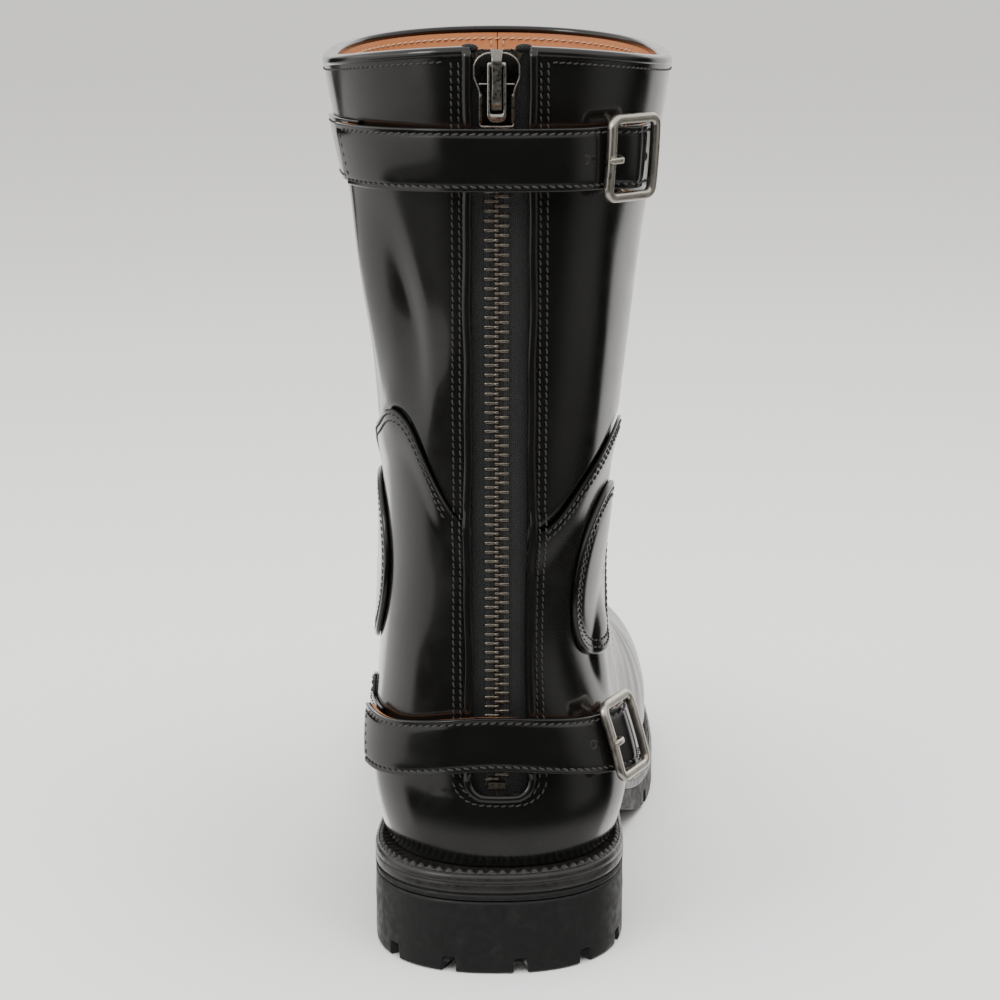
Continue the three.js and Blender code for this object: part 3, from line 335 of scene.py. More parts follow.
def outward(piece):
    """Turns every face outwards: the signed volume of a closed mesh is negative when it is inside out."""
    data = piece.data
    co = np.empty(len(data.vertices) * 3)
    data.vertices.foreach_get("co", co)
    co = co.reshape(-1, 3)
    data.calc_loop_triangles()
    tri = np.empty(len(data.loop_triangles) * 3, int)
    data.loop_triangles.foreach_get("vertices", tri)
    a, b, c = co[tri.reshape(-1, 3)].transpose(1, 0, 2)
    if np.einsum("ij,ij->", a, np.cross(b, c)) < 0:
        data.flip_normals()
    return piece


def soften(piece, width, segments=2, angle=40):
    """Rounds the cut edges."""
    bevel = piece.modifiers.new("rounded edges", "BEVEL")
    bevel.width = width * MM
    bevel.segments = segments
    bevel.limit_method = "ANGLE"
    bevel.angle_limit = math.radians(angle)
    bevel.use_clamp_overlap = True
    bevel.harden_normals = False
    return piece


def leather(name, outer, inner, finish, body_name, stands_for=(), wrap=False, edge=0.45):
    """A closed sheet between two grids."""
    rows, columns = outer.shape[:2]
    points = np.concatenate([outer.reshape(-1, 3), inner.reshape(-1, 3)])
    piece = make_mesh(name, points, shell_faces(rows, columns, wrap), finish, body_name, stands_for)
    outward(piece)
    return soften(piece, edge) if edge else piece


def sweep(path, side, up, profile, closed=False):
    """Points of a closed profile carried along a path: path + side * first coordinate + up * second."""
    profile = np.asarray(profile, float)
    if profile.ndim == 2:
        profile = np.broadcast_to(profile, (len(path), *profile.shape))
    return path[:, None] + side[:, None] * profile[..., :1] + up[:, None] * profile[..., 1:]


def tube(name, rings, finish, body_name, stands_for=(), closed=False):
    """A closed solid from rings of points. An open run is closed with a point at each end."""
    n, m = rings.shape[:2]
    if closed:
        points = rings.reshape(-1, 3)
        faces = grid_faces(n, m, 0, True)
        last = np.stack([np.arange(m) + (n - 1) * m, (np.arange(m) + 1) % m + (n - 1) * m, (np.arange(m) + 1) % m, np.arange(m)], -1)
        faces = np.concatenate([faces, last])
    else:
        ends = np.stack([np.repeat(rings[0].mean(0)[None], m, 0), np.repeat(rings[-1].mean(0)[None], m, 0)])
        rings = np.concatenate([ends[:1], rings, ends[1:]])
        points = rings.reshape(-1, 3)
        faces = grid_faces(n + 2, m, 0, True)
    piece = make_mesh(name, points, faces, finish, body_name, stands_for)
    weld(piece)
    return outward(piece)


def weld(piece, reach=1e-4):
    """Merges points that lie together, so that seams and poles are closed."""
    import bmesh

    mesh = bmesh.new()
    mesh.from_mesh(piece.data)
    bmesh.ops.remove_doubles(mesh, verts=mesh.verts, dist=reach * MM * 10)
    bmesh.ops.dissolve_degenerate(mesh, edges=mesh.edges, dist=1e-9)
    mesh.to_mesh(piece.data)
    mesh.free()
    piece.data.polygons.foreach_set("use_smooth", np.ones(len(piece.data.polygons), bool))
    return piece


def rounded(width, height, power=4, count=16):
    """A rounded rectangle as a superellipse: cosine and sine raised to two over the power."""
    t = (np.arange(count) + 0.5) * 2 * np.pi / count
    c, s = np.cos(t), np.sin(t)
    return np.stack([width / 2 * np.sign(c) * np.abs(c) ** (2 / power), height / 2 * np.sign(s) * np.abs(s) ** (2 / power)], -1)


def tangents(path, closed=False):
    if closed:
        return unit(np.roll(path, -1, 0) - np.roll(path, 1, 0))
    return unit(np.gradient(path, axis=0))


def resample(path, others, pitch, margin=0.0, closed=False):
    """Even steps of about one pitch along a path, with other arrays carried along."""
    if closed:
        path = np.concatenate([path, path[:1]])
        others = [np.concatenate([o, o[:1]]) for o in others]
    step = np.linalg.norm(np.diff(path, axis=0), axis=1)
    length = np.concatenate([[0], np.cumsum(step)])
    count = max(2, round((length[-1] - 2 * margin) / pitch))
    at = np.linspace(margin, length[-1] - margin, count + 1)
    at = at[:-1] + (at[1] - at[0]) / 2
    pick = lambda a: np.stack([np.interp(at, length, a[:, k]) for k in range(a.shape[1])], -1)
    return pick(path), [pick(o) for o in others]


print("mesh helpers ready")

# %% [markdown]
# ## Finishes
# Each finish is a shader with a few layers of procedural pattern on Object coordinates, which stay with the piece.
# Polished leather is nearly black with two kinds of gloss: a broad one from the leather and a sharper one from the
# wax on top. Small bumps from pores, and larger slow ones from the hide, keep the highlights alive.


# %% A small kit for shader nodes
class Finish:
    """One material, with short calls for the nodes it needs."""

    def __init__(self, name, colour, roughness, metallic=0.0, **sockets):
        self.material = bpy.data.materials.new(name)
        self.material.use_nodes = True
        self.nodes = self.material.node_tree.nodes
        self.links = self.material.node_tree.links
        self.shader = self.nodes["Principled BSDF"]
        values = {"Base Color": (*colour, 1), "Roughness": roughness, "Metallic": metallic, **sockets}
        for socket, value in values.items():
            self.shader.inputs[socket].default_value = value
        self.place = self.nodes.new("ShaderNodeTexCoord").outputs["Object"]
        self.height = None

    def node(self, kind, settings=None, **inputs):
        made = self.nodes.new("ShaderNode" + kind)
        for key, value in (settings or {}).items():
            setattr(made, key, value)
        for key, value in inputs.items():
            self.feed(made.inputs[key.replace("_", " ")], value)
        return made

    def feed(self, socket, value):
        if isinstance(value, bpy.types.NodeSocket):
            self.links.new(value, socket)
        else:
            socket.default_value = value

    def maths(self, operation, a, b=0.0, c=0.0):
        made = self.nodes.new("ShaderNodeMath")
        made.operation = operation
        for socket, value in zip(made.inputs, (a, b, c)):
            self.feed(socket, value)
        return made.outputs[0]

    def noise(self, size_mm, detail=3.0, roughness=0.5, place=None):
        """Cloudy noise with lumps of about the given size."""
        made = self.node("TexNoise", Vector=place or self.place, Scale=1 / (size_mm * MM), Detail=detail, Roughness=roughness)
        return made.outputs["Fac"]

    def cells(self, size_mm, feature="DISTANCE_TO_EDGE"):
        made = self.node("TexVoronoi", {"feature": feature}, Vector=self.place, Scale=1 / (size_mm * MM))
        return made.outputs["Distance"]

    def between(self, value, low, high, a, b):
        """Carries low..high to a..b, smoothly, and holds it there."""
        made = self.node("MapRange", {"interpolation_type": "SMOOTHSTEP"})
        for socket, v in zip(made.inputs, (value, low, high, a, b)):
            self.feed(socket, v)
        return made.outputs["Result"]

    def colours(self, value, first, second):
        made = self.node("Mix", {"data_type": "RGBA"})
        self.feed(made.inputs[0], value)
        made.inputs[6].default_value = (*first, 1)
        made.inputs[7].default_value = (*second, 1)
        self.feed(self.shader.inputs["Base Color"], made.outputs[2])

    def bump(self, height, strength, depth_mm):
        made = self.node("Bump", Strength=strength, Distance=depth_mm * MM, Height=height)
        if self.height is not None:
            self.links.new(self.height, made.inputs["Normal"])
        self.height = made.outputs["Normal"]
        self.links.new(self.height, self.shader.inputs["Normal"])

    def roughness(self, value, low, high, a, b):
        self.feed(self.shader.inputs["Roughness"], self.between(value, low, high, a, b))


# %% Leathers
def polished_leather():
    f = Finish("polished black leather", (0.006, 0.0058, 0.0055), 0.2, **{"Coat Weight": 0.5, "Coat Roughness": 0.05, "Specular IOR Level": 0.5})
    f.colours(f.noise(24, 4), (0.0035, 0.0034, 0.0033), (0.007, 0.0068, 0.0064))
    f.roughness(f.noise(9, 5, 0.6), 0.35, 0.7, 0.16, 0.26)
    f.bump(f.noise(34, 2), 0.35, 0.5)
    f.bump(f.noise(7, 2), 0.25, 0.06)
    f.bump(f.cells(0.75), 0.10, 0.02)
    return f.material


def tan_leather():
    f = Finish("tan lining leather", (0.50, 0.20, 0.08), 0.48, **{"Specular IOR Level": 0.4})
    f.colours(f.noise(11, 5, 0.6), (0.42, 0.155, 0.058), (0.58, 0.24, 0.10))
    f.roughness(f.noise(3, 4), 0.3, 0.7, 0.40, 0.58)
    f.bump(f.noise(14, 3), 0.4, 0.3)
    f.bump(f.cells(0.6), 0.3, 0.04)
    return f.material


def edge_leather():
    f = Finish("burnished black edge", (0.012, 0.0115, 0.011), 0.34, **{"Coat Weight": 0.3, "Coat Roughness": 0.2})
    f.colours(f.noise(5, 4), (0.008, 0.008, 0.0075), (0.024, 0.022, 0.020))
    f.roughness(f.noise(2.5, 4), 0.3, 0.7, 0.26, 0.5)
    f.bump(f.noise(3, 4), 0.35, 0.12)
    f.bump(f.noise(0.5, 2), 0.3, 0.03)
    return f.material


def board():
    f = Finish("leather board", (0.33, 0.19, 0.10), 0.8)
    f.colours(f.noise(2, 6, 0.7), (0.24, 0.13, 0.07), (0.42, 0.26, 0.15))
    f.roughness(f.noise(4, 3), 0.3, 0.7, 0.7, 0.9)
    f.bump(f.noise(0.8, 5, 0.7), 0.6, 0.1)
    return f.material


def rubber():
    f = Finish("matte black rubber", (0.016, 0.016, 0.0165), 0.62, **{"Specular IOR Level": 0.35})
    scuffs = f.noise(6, 8, 0.75)
    f.colours(f.between(scuffs, 0.52, 0.8, 0, 1), (0.010, 0.010, 0.0102), (0.020, 0.0196, 0.019))
    f.roughness(f.noise(3, 5), 0.3, 0.7, 0.42, 0.62)
    f.bump(f.noise(0.35, 3), 0.35, 0.04)
    f.bump(f.noise(12, 3), 0.3, 0.3)
    return f.material


# %% Metals, tape and thread
def nickel():
    f = Finish("satin nickel", (0.66, 0.61, 0.54), 0.24, 1.0)
    f.colours(f.noise(3, 5, 0.65), (0.66, 0.61, 0.53), (0.82, 0.78, 0.71))
    f.roughness(f.noise(2.5, 3), 0.3, 0.7, 0.26, 0.38)
    f.bump(f.noise(5, 2), 0.1, 0.05)
    return f.material


def aged_metal(name="antique nickel", light=(0.34, 0.30, 0.25), dark=(0.10, 0.09, 0.078)):
    f = Finish(name, light, 0.32, 1.0)
    f.colours(f.noise(1.6, 5, 0.7), dark, light)
    f.roughness(f.noise(0.9, 4), 0.3, 0.7, 0.24, 0.46)
    f.bump(f.noise(0.9, 2), 0.12, 0.02)
    return f.material


def cotton_tape():
    """Herringbone: slanting ribs that turn back every few millimetres."""
    f = Finish("black herringbone tape", (0.012, 0.012, 0.0125), 0.85, **{"Sheen Weight": 0.1, "Sheen Roughness": 0.5})
    part = f.node("SeparateXYZ", Vector=f.place)
    across = f.maths("PINGPONG", part.outputs["X"], 2.6 * MM)
    slant = f.maths("ADD", part.outputs["Z"], f.maths("MULTIPLY", across, 1.1))
    ribs = f.maths("SINE", f.maths("MULTIPLY", slant, 2 * math.pi / (0.95 * MM)))
    yarns = f.maths("SINE", f.maths("MULTIPLY", part.outputs["X"], 2 * math.pi / (0.62 * MM)))
    weave = f.maths("ADD", ribs, f.maths("MULTIPLY", yarns, 0.5))
    f.colours(f.between(weave, -1.2, 1.4, 0, 1), (0.003, 0.003, 0.0032), (0.022, 0.0215, 0.022))
    f.roughness(f.noise(0.4, 3), 0.3, 0.7, 0.75, 0.95)
    f.bump(weave, 0.7, 0.12)
    f.bump(f.noise(0.25, 3), 0.4, 0.05)
    return f.material


def thread(name, dark, light):
    """Waxed thread: fine slanting plies."""
    f = Finish(name, light, 0.5, **{"Sheen Weight": 0.15})
    part = f.node("SeparateXYZ", Vector=f.place)
    slant = f.maths("ADD", f.maths("ADD", part.outputs["X"], part.outputs["Y"]), part.outputs["Z"])
    plies = f.maths("SINE", f.maths("MULTIPLY", slant, 2 * math.pi / (0.45 * MM)))
    f.colours(f.between(plies, -1, 1, 0, 1), dark, light)
    f.roughness(f.noise(0.5, 2), 0.3, 0.7, 0.42, 0.62)
    f.bump(plies, 0.4, 0.05)
    return f.material


def steel():
    f = Finish("plain steel", (0.5, 0.5, 0.5), 0.35, 1.0)
    f.colours(f.noise(2, 4), (0.40, 0.40, 0.41), (0.56, 0.56, 0.55))
    f.roughness(f.noise(1, 4), 0.3, 0.7, 0.28, 0.5)
    f.bump(f.noise(0.5, 3), 0.2, 0.02)
    return f.material


POLISHED, TAN, EDGE, BOARD, RUBBER = polished_leather(), tan_leather(), edge_leather(), board(), rubber()
NICKEL, AGED, TAPE, STEEL = nickel(), aged_metal(), cotton_tape(), steel()
TEETH = aged_metal("worn zip metal", (0.46, 0.41, 0.35), (0.13, 0.115, 0.095))
BLACK_METAL = aged_metal("black enamelled metal", (0.035, 0.034, 0.032), (0.012, 0.012, 0.012))
BRIGHT = aged_metal("bright worn metal", (0.72, 0.69, 0.64), (0.42, 0.40, 0.37))
BLACK_THREAD = thread("black waxed thread", (0.006, 0.006, 0.006), (0.05, 0.048, 0.045))
PALE_THREAD = thread("pale thread", (0.30, 0.18, 0.10), (0.72, 0.55, 0.40))
finish_of = {"polished_leather": POLISHED, "tan_leather": TAN, "edge_leather": EDGE, "leather_board": BOARD, "rubber": RUBBER,
             "nickel": NICKEL, "aged_metal": AGED, "cotton_tape": TAPE, "steel": STEEL}
for part in frame["record"]["subparts"]:
    node = frame["nodes"][part["node"]]
    node.data.materials.clear()
    node.data.materials.append(finish_of[part["material_slot"]])
print(len(bpy.data.materials), "finishes; every CAD node has one")

# %% [markdown]
# ## Seams and creases
# The wave seam divides the lower part of the boot, the quarter, from the shaft. The quarter is lapped over the shaft
# and over the vamp, so its edge stands up by one thickness of leather and sinks back over a finger's width.
# The shaft has stood folded at the ankle side, and keeps soft creases there.

# %% Lines of the pattern
wave_left = spline([(0, 146), (11, 147), (25, 165), (33, 176), (41, 181), (60, 176), (75, 172), (100, 164), (125, 150), (150, 135), (180, 120)])
wave_right = spline([(0, 145.5), (17, 146), (33, 158.5), (48, 167.5), (62, 173), (80, 174), (100, 167), (125, 151), (150, 135), (180, 120)])


def turned(angle):
    """The same angle from -180 to 180."""
    return (np.asarray(angle, float) + 180) % 360 - 180


def wave(angle):
    a = turned(angle)
    return np.where(a < 0, wave_left(-a), wave_right(a))


def rim(angle):
    """Top line: level at front and back, dipping at the sides by the squared sine."""
    return BOOT_HEIGHT - 1.5 - TOPLINE_DIP * np.sin(np.radians(angle)) ** 2


def slot_angle(x, z):
    """Angle at which a ray from the leg's middle passes x at the back."""
    return np.degrees(np.arctan2(x - leg_centre(z), 22 - BACK_PLANE))


def edge_columns(angle, z):
    """Columns of constant angle, except that the first and last follow the straight edges of the zip opening."""
    first, last = slot_angle(SLOT_HALF, z), 360 + slot_angle(-SLOT_HALF, z)
    near = 1 - smooth((angle - angle.min()) / 24)
    far = 1 - smooth((angle.max() - angle) / 24)
    return angle + (first - angle.min()) * near + (last - angle.max()) * far


def seam_height(angle):
    """Where the slanting seam plane cuts the surface at each angle, or the welt where it doesn't."""
    low = np.array(feather(on_leg(angle, np.full(angle.shape, HEEL_SEAT))[0][:, 1]) + 0.2)
    start, high = low.copy(), np.full(angle.shape, 170.0)
    for _ in range(18):
        middle = (low + high) / 2
        y = on_leg(angle, middle)[0][:, 1]
        ahead = y > SEAM_Y + (middle - feather(SEAM_Y)) * math.tan(math.radians(SEAM_LEAN))
        low, high = np.where(ahead, middle, low), np.where(ahead, high, middle)
    return start, np.where(high - start < 1, start, high)


seam_angles = np.arange(0, 361, 3.0)
welt_line, plane_line = seam_height(seam_angles)


def lower_edge(angle):
    """The lower edge of quarter and shaft: the welt, or the vamp seam in front."""
    return np.interp(np.asarray(angle, float) % 360, seam_angles, plane_line)


def creases(angle, z):
    """How far the leather stands out of the plain body, as a sum of humps and hollows in angle and height."""
    a = turned(angle)
    r = 2.6 * hump((a + 62 + (z - 215) * 0.10) / 13) * hump((z - 226) / 30)
    r = r - 2.6 * hump((a + 33 + (z - 205) * 0.22) / 8) * hump((z - 208) / 26)
    r = r + 1.3 * hump((a + 22) / 9) * hump((z - 190) / 17)
    r = r - 1.1 * hump((a + 80 - (z - 240) * 0.3) / 6) * hump((z - 238) / 12)
    r = r + 0.7 * hump((a + 46) / 7) * hump((z - 182) / 9)
    r = r - 0.8 * hump((a - 60) / 20) * hump((z - 232) / 22) + 0.6 * hump((a - 38) / 10) * hump((z - 200) / 40)
    r = r - 0.7 * hump((a + 70) / 25) * hump((z - 120) / 18) - 0.5 * hump((a - 40) / 12) * hump((z - 100) / 14)
    front = hump((turned(a - 180)) / 60)
    folds = np.sin((z - 118) / 6.5 + 0.6 * np.sin(np.radians(a) * 3)) * hump((z - 138) / 26)
    return r + front * folds * 0.9


def quarter_edge(angle, z):
    """Distance to the nearer lapped edge of the quarter: the wave seam above or the vamp seam ahead."""
    top = wave(angle) - z
    ahead = np.where(np.abs(turned(angle)) > 95, (z - lower_edge(angle)) * 0.45 + 0.0, 99)
    return np.clip(np.minimum(top, np.where(lower_edge(angle) > feather(SEAM_Y) + 14, ahead, 99)), 0, 99)


print("vamp seam runs up to", round(float(plane_line.max())), "mm")

# %% [markdown]
# ## Shaft and quarter
# Both are sheets of leather on the same lattice: columns run up the leg, rows go round it from one side of the zip to
# the other. The quarter's outside is raised along its lapped edges and thinned there, as a shoemaker skives it.

# %% Shaft
COLUMNS = 250
round_leg = np.linspace(9.8, 350.2, COLUMNS)


def leg_sheet(bottom, top, rows, outer_out, inner_out, columns=round_leg):
    """Two grids on the leg between two heights, offset along the normals by functions of angle and height."""
    share = np.linspace(0, 1, rows)[:, None]
    angle = np.broadcast_to(columns, (rows, len(columns)))
    z = mix(bottom(columns)[None], top(columns)[None], share)
    angle = edge_columns(angle, z)
    point, normal = on_leg(angle, z)
    relief = creases(angle, z)[..., None]
    outer = point + normal * (relief + outer_out(angle, z)[..., None])
    inner = point + normal * (relief + inner_out(angle, z)[..., None])
    return outer, inner


shaft_outer, shaft_inner = leg_sheet(
    lambda a: np.maximum(wave(a) - 7, lower_edge(a) - 3), rim, 110,
    lambda a, z: -1.5 * smooth((wave(a) + 3 - z) / 6),
    lambda a, z: -2.2 - 0.3 * smooth((wave(a) + 3 - z) / 6))
shaft = leather("shaft_leather", shaft_outer, shaft_inner, POLISHED, "boot", "shaft")
print("shaft", shaft_outer.shape)


# %% Quarter
def quarter_lift(angle, z):
    return 1.15 * (1 - smooth((quarter_edge(angle, z) - 1) / 15))


quarter_columns = round_leg[np.interp(round_leg, seam_angles, plane_line) < wave(round_leg) - 4]
halves = [quarter_columns[quarter_columns < 180], quarter_columns[quarter_columns > 180]]
quarter_rows = 105


def quarter_half(columns, side):
    """One half of the quarter. The halves meet under the zip, and part at its edges."""
    share = np.linspace(0, 1, quarter_rows)[:, None]
    bottom, top = np.maximum(lower_edge(columns), np.interp(columns, seam_angles, welt_line)), wave(columns)
    z = mix(bottom[None], top[None], share)
    angle = np.broadcast_to(columns, z.shape)
    near = 1 - smooth(np.abs(angle - (columns[0] if side > 0 else columns[-1])) / 24)
    # Lower corner of the opening: round, five millimetres.
    down = np.clip((SLOT_BOTTOM + 5 - z) / 5, 0, 1)
    half = np.where(z < SLOT_BOTTOM, 0, (SLOT_HALF - 5) + 5 * np.sqrt(1 - down**2))
    edge = slot_angle(side * half, z) + (0 if side > 0 else 360)
    first = columns[0] if side > 0 else columns[-1]
    angle = angle + (edge - first) * near
    point, normal = on_leg(angle, z)
    relief = creases(angle, z)
    lift = quarter_lift(angle, z)
    return (point + normal * (relief + lift)[..., None],
            point + normal * (relief + lift - mix(1.0, 2.2, smooth(quarter_edge(angle, z) / 15)))[..., None])


for columns, side, name in ((halves[0], 1, "lateral"), (halves[1], -1, "medial")):
    outer, inner = quarter_half(columns, side)
    piece = leather("quarter_" + name, outer, inner, POLISHED, "boot", "quarter" if side > 0 else ())
    print(piece.name, outer.shape)

# %% [markdown]
# ## Vamp
# The vamp covers the forepart. Its grid runs from the seam to the toe in planes that lie down more and more, so the
# rows bend round the toe as the grain of the real piece does when it is pulled over the last.

# %% Vamp and its lining
share = np.concatenate([[-0.06, -0.035, -0.012], np.linspace(0.012, 1, 90)])[:, None]
angle = np.linspace(-90, 90, 110)[None]
point, normal = on_foot(share, angle)
walk = (0.7 * hump((share - 0.42) / 0.16) * np.sin(share * 70 + 0.8 * np.sin(np.radians(angle) * 2)) * np.cos(np.radians(angle)) ** 2)
wave_out = walk - 1.5 * (1 - smooth((share + 0.01) / 0.03))
vamp = leather("vamp_leather", point + normal * wave_out[..., None], point + normal * (np.minimum(wave_out, 0) - 1.1 - 1.1 * smooth(share / 0.05))[..., None],
               POLISHED, "boot", "vamp")
print(vamp.name, point.shape)

# %% [markdown]
# ## Lining and top line
# The tan lining is in two halves with a seam down the front. A narrow black binding is folded over the top of shaft
# and lining, and stitched through.

# %% Lining halves
lining_rows = np.linspace(0, 1, 90)[:, None]
for side, name in ((1, "lateral"), (-1, "medial")):
    columns = np.linspace(9.8, 179.93, 110)
    full = columns if side > 0 else -columns
    bottom = np.maximum(np.interp(full % 360, seam_angles, plane_line), np.interp(full % 360, seam_angles, welt_line)) + 1
    z = mix(bottom[None], rim(columns)[None], lining_rows)
    a = np.broadcast_to(columns, z.shape)
    half = np.where(z < SLOT_BOTTOM - 2, 1.2, SLOT_HALF + 0.2)
    edge = side * (slot_angle(side * half, z))
    a = side * (a + (edge - 9.8) * (1 - smooth((a - 9.8) / 20)))
    point, normal = on_leg(a, z)
    out = mix(-4.5, -3.6, smooth((z - 113) / 30)) + creases(a, z) * smooth((z - 60) / 40)
    outer, inner = point + normal * out[..., None], point + normal * (out - 1.3)[..., None]
    leather("lining_" + name, outer, inner, TAN, "boot", "leg_lining_" + name, edge=0.3)
print("lining in two halves")

# %% Binding over the top line
rim_angles = edge_columns(np.linspace(9.8, 350.2, 260), np.full(260, 295.0))
point, normal = on_leg(rim_angles, rim(rim_angles))
relief = creases(rim_angles, rim(rim_angles))[:, None]
upward = np.tile([0.0, 0.0, 1.0], (len(point), 1))
bead = np.array([(0.06, -1.9), (0.2, -1.0), (0.16, 0.0), (-0.3, 0.7), (-1.2, 1.0), (-2.5, 1.05), (-3.9, 0.9), (-4.8, 0.5), (-5.2, -0.1), (-5.2, -1.5), (-4.95, -1.6), (-4.95, 0.0), (-2.5, 0.1), (0.0, 0.0), (0.0, -1.9)])
binding = tube("top_binding_leather", sweep(point + normal * relief, normal, upward, bead), POLISHED, "boot", "top_binding")
print(binding.name, len(binding.data.polygons), "faces")

# %% [markdown]
# ## Stitching
# A stitch is a short fat piece of thread that dips into the leather at both ends. All the stitches of one row are made
# at once: the row's path is cut into even steps, and the same small capsule is put on each, leaning a little, as a
# lockstitch does.


# %% Rows of stitches
def stitches(name, path, normals, pitch=2.5, length=0.8, width=0.55, rise=0.22, lean=12, finish=None, body_name="boot", closed=False, margin=1.0, slot_name="polished_leather"):
    """Capsules along a path: each is a ring of six points at seven stations, thick in the middle and sunk at its ends."""
    at, (up,) = resample(path, [normals], pitch, 0 if closed else margin, closed)
    up = unit(up)
    along_row = tangents(at)
    along_row = unit(along_row - up * (along_row * up).sum(-1, keepdims=True))
    side = np.cross(up, along_row)
    tilt = math.radians(lean)
    direction, side = along_row * math.cos(tilt) + side * math.sin(tilt), side * math.cos(tilt) - along_row * math.sin(tilt)
    t = np.array([-1, -0.8, -0.4, 0, 0.4, 0.8, 1.0])
    girth = np.sqrt(np.clip(1 - np.abs(t) ** 3, 0.02, 1)) * width / 2
    lift = rise - 0.5 * width * np.abs(t) ** 2.5
    ring = np.arange(6) * np.pi / 3
    local = np.stack(np.broadcast_arrays(t[:, None] * pitch * length / 2, girth[:, None] * np.cos(ring), lift[:, None] + girth[:, None] * np.sin(ring)), -1)
    points = (at[:, None, None] + direction[:, None, None] * local[None, ..., :1] + side[:, None, None] * local[None, ..., 1:2]
              + up[:, None, None] * local[None, ..., 2:])
    one = np.concatenate([grid_faces(7, 6, 0, True), [[5, 4, 1, 0], [4, 3, 2, 1], [36, 37, 40, 41], [37, 38, 39, 40]]])
    faces = (one[None] + (np.arange(len(at)) * 42)[:, None, None]).reshape(-1, 4)
    piece = make_mesh(name, points.reshape(-1, 3), faces, finish or BLACK_THREAD, body_name)
    return outward(piece)


def leg_row(name, angle, z, out, **more):
    """A row of stitches on the leg, along angles and heights."""
    point, normal = on_leg(angle, z)
    out = np.broadcast_to(out, np.shape(z))
    return stitches(name, point + normal * (creases(angle, z) + out)[:, None], normal, **more)


for side, name in ((1, "lateral"), (-1, "medial")):
    a = np.linspace(16.5, 150, 200)
    for row, down in enumerate((1.6, 3.9)):
        z = wave(side * a) - down
        leg_row(f"wave_stitch_{name}_{row}", side * a, z, quarter_lift(side * a, z), pitch=2.4)
    # Two rows beside the zip, from the top line to the lower end.
    z = np.linspace(rim(0) - 2.6, SLOT_BOTTOM + 4, 160)
    for row, away in enumerate((3.4, 5.8)):
        x = side * (SLOT_HALF + away)
        angle = slot_angle(x, z)
        leg_row(f"zip_stitch_{name}_{row}", angle, z, quarter_lift(angle, z) * (z < 150), pitch=2.3)
t = np.radians(np.linspace(180, 360, 40))
for row, away in enumerate((3.4, 5.8)):
    reach = 5 + away
    x = 4.3 * np.sign(np.cos(t)) * np.minimum(1, np.abs(np.cos(t)) * 6) + reach * np.cos(t)
    z = SLOT_BOTTOM + 5 + reach * 0.78 * np.sin(t)
    angle = slot_angle(x, z)
    leg_row(f"slot_end_stitch_{row}", angle, z, 0.05, pitch=2.3)
a = np.linspace(16.5, 343.5, 300)
leg_row("rim_stitch", a, rim(a) - 3.4, 0.05, pitch=2.2, width=0.5)
inner_a = np.linspace(14, 346, 300)
point, normal = on_leg(inner_a, rim(inner_a) - 3.6)
stitches("rim_stitch_inside", point + normal * (creases(inner_a, rim(inner_a) - 3.6) - 4.95)[:, None], -normal, pitch=2.6, width=0.5, finish=PALE_THREAD, slot_name="tan_leather")
z = np.linspace(rim(180) - 3, 140, 90)
for side in (-1, 1):
    angle = 180 + side * 1.7
    point, normal = on_leg(np.full(z.shape, angle), z)
    stitches(f"lining_seam_{'a' if side < 0 else 'b'}", point + normal * (creases(angle, z) - 4.95)[:, None], -normal, pitch=2.6, width=0.5, finish=PALE_THREAD, slot_name="tan_leather")
for row, behind in enumerate((1.8, 4.2)):
    angle = np.linspace(-84, 84, 140)
    point, normal = on_foot(np.full(angle.shape, -behind / 210), angle)
    stitches(f"vamp_stitch_{row}", point + normal * 1.2, normal, pitch=2.4)
print("stitch rows done")

# %% [markdown]
# ## Round patches over the ankle bones
# Each patch is a disc of leather with a rolled edge. In the tangent plane its points are rings of growing radius; each
# point is then dropped on the leg, so the disc takes the curve of the ankle.


# %% Ankle patches
def patch(angle, name):
    height = 125.0
    (centre,), (normal,) = on_leg(np.array([angle]), np.array([height]))
    across = unit(np.cross([0, 0, 1.0], normal))
    up = np.cross(normal, across)
    rho = np.concatenate([[0.01], np.linspace(3, 27.6, 16), [28.2, 28.7, 29.0, 29.0, 28.6], np.linspace(27, 0.01, 6)])
    lift = np.concatenate([np.full(17, 2.0), [1.9, 1.6, 1.1, 0.4, 0.2], np.full(6, 0.2)])
    lift[:16] += 0.5 * hump(rho[:16] / 20) - 0.5 * hump((rho[:16] - 25) / 2)
    turn = np.linspace(0, 2 * np.pi, 96, endpoint=False)

    def dropped(r):
        flat = centre + r[:, None, None] * (np.cos(turn)[None, :, None] * across + np.sin(turn)[None, :, None] * up)
        a = np.degrees(np.arctan2(flat[..., 0] - leg_centre(flat[..., 2]), 22 - flat[..., 1]))
        p, n = on_leg(a, flat[..., 2])
        return p + n * creases(a, flat[..., 2])[..., None], n

    p, n = dropped(rho)
    disc = tube("ankle_patch_" + name + "_leather", p + n * lift[:, None, None], POLISHED, "boot", "ankle_patch_" + name)
    for row, r in enumerate((26.6, 24.4)):
        p, n = dropped(np.array([r]))
        stitches(f"patch_stitch_{name}_{row}", p[0] + n[0] * 1.75, n[0], pitch=2.4, closed=True)
    return disc


for angle, name in ((64.0, "lateral"), (-96.0, "medial")):
    print(patch(angle, name).name)

# %% [markdown]
# ## Zip
# A metal zip is two cotton tapes with a row of clamped teeth on each. A tooth is a small clip with a round head; the
# heads of the two rows lie one above the other and hook into each other in the middle.

# %% Rolled edge round the opening
OUT_TAPE = -2.7
TAPE_MIDDLE = -3.0
corner = np.radians(np.linspace(180, 360, 31))
legs = np.linspace(rim(0) - 0.3, SLOT_BOTTOM + 5, 110)


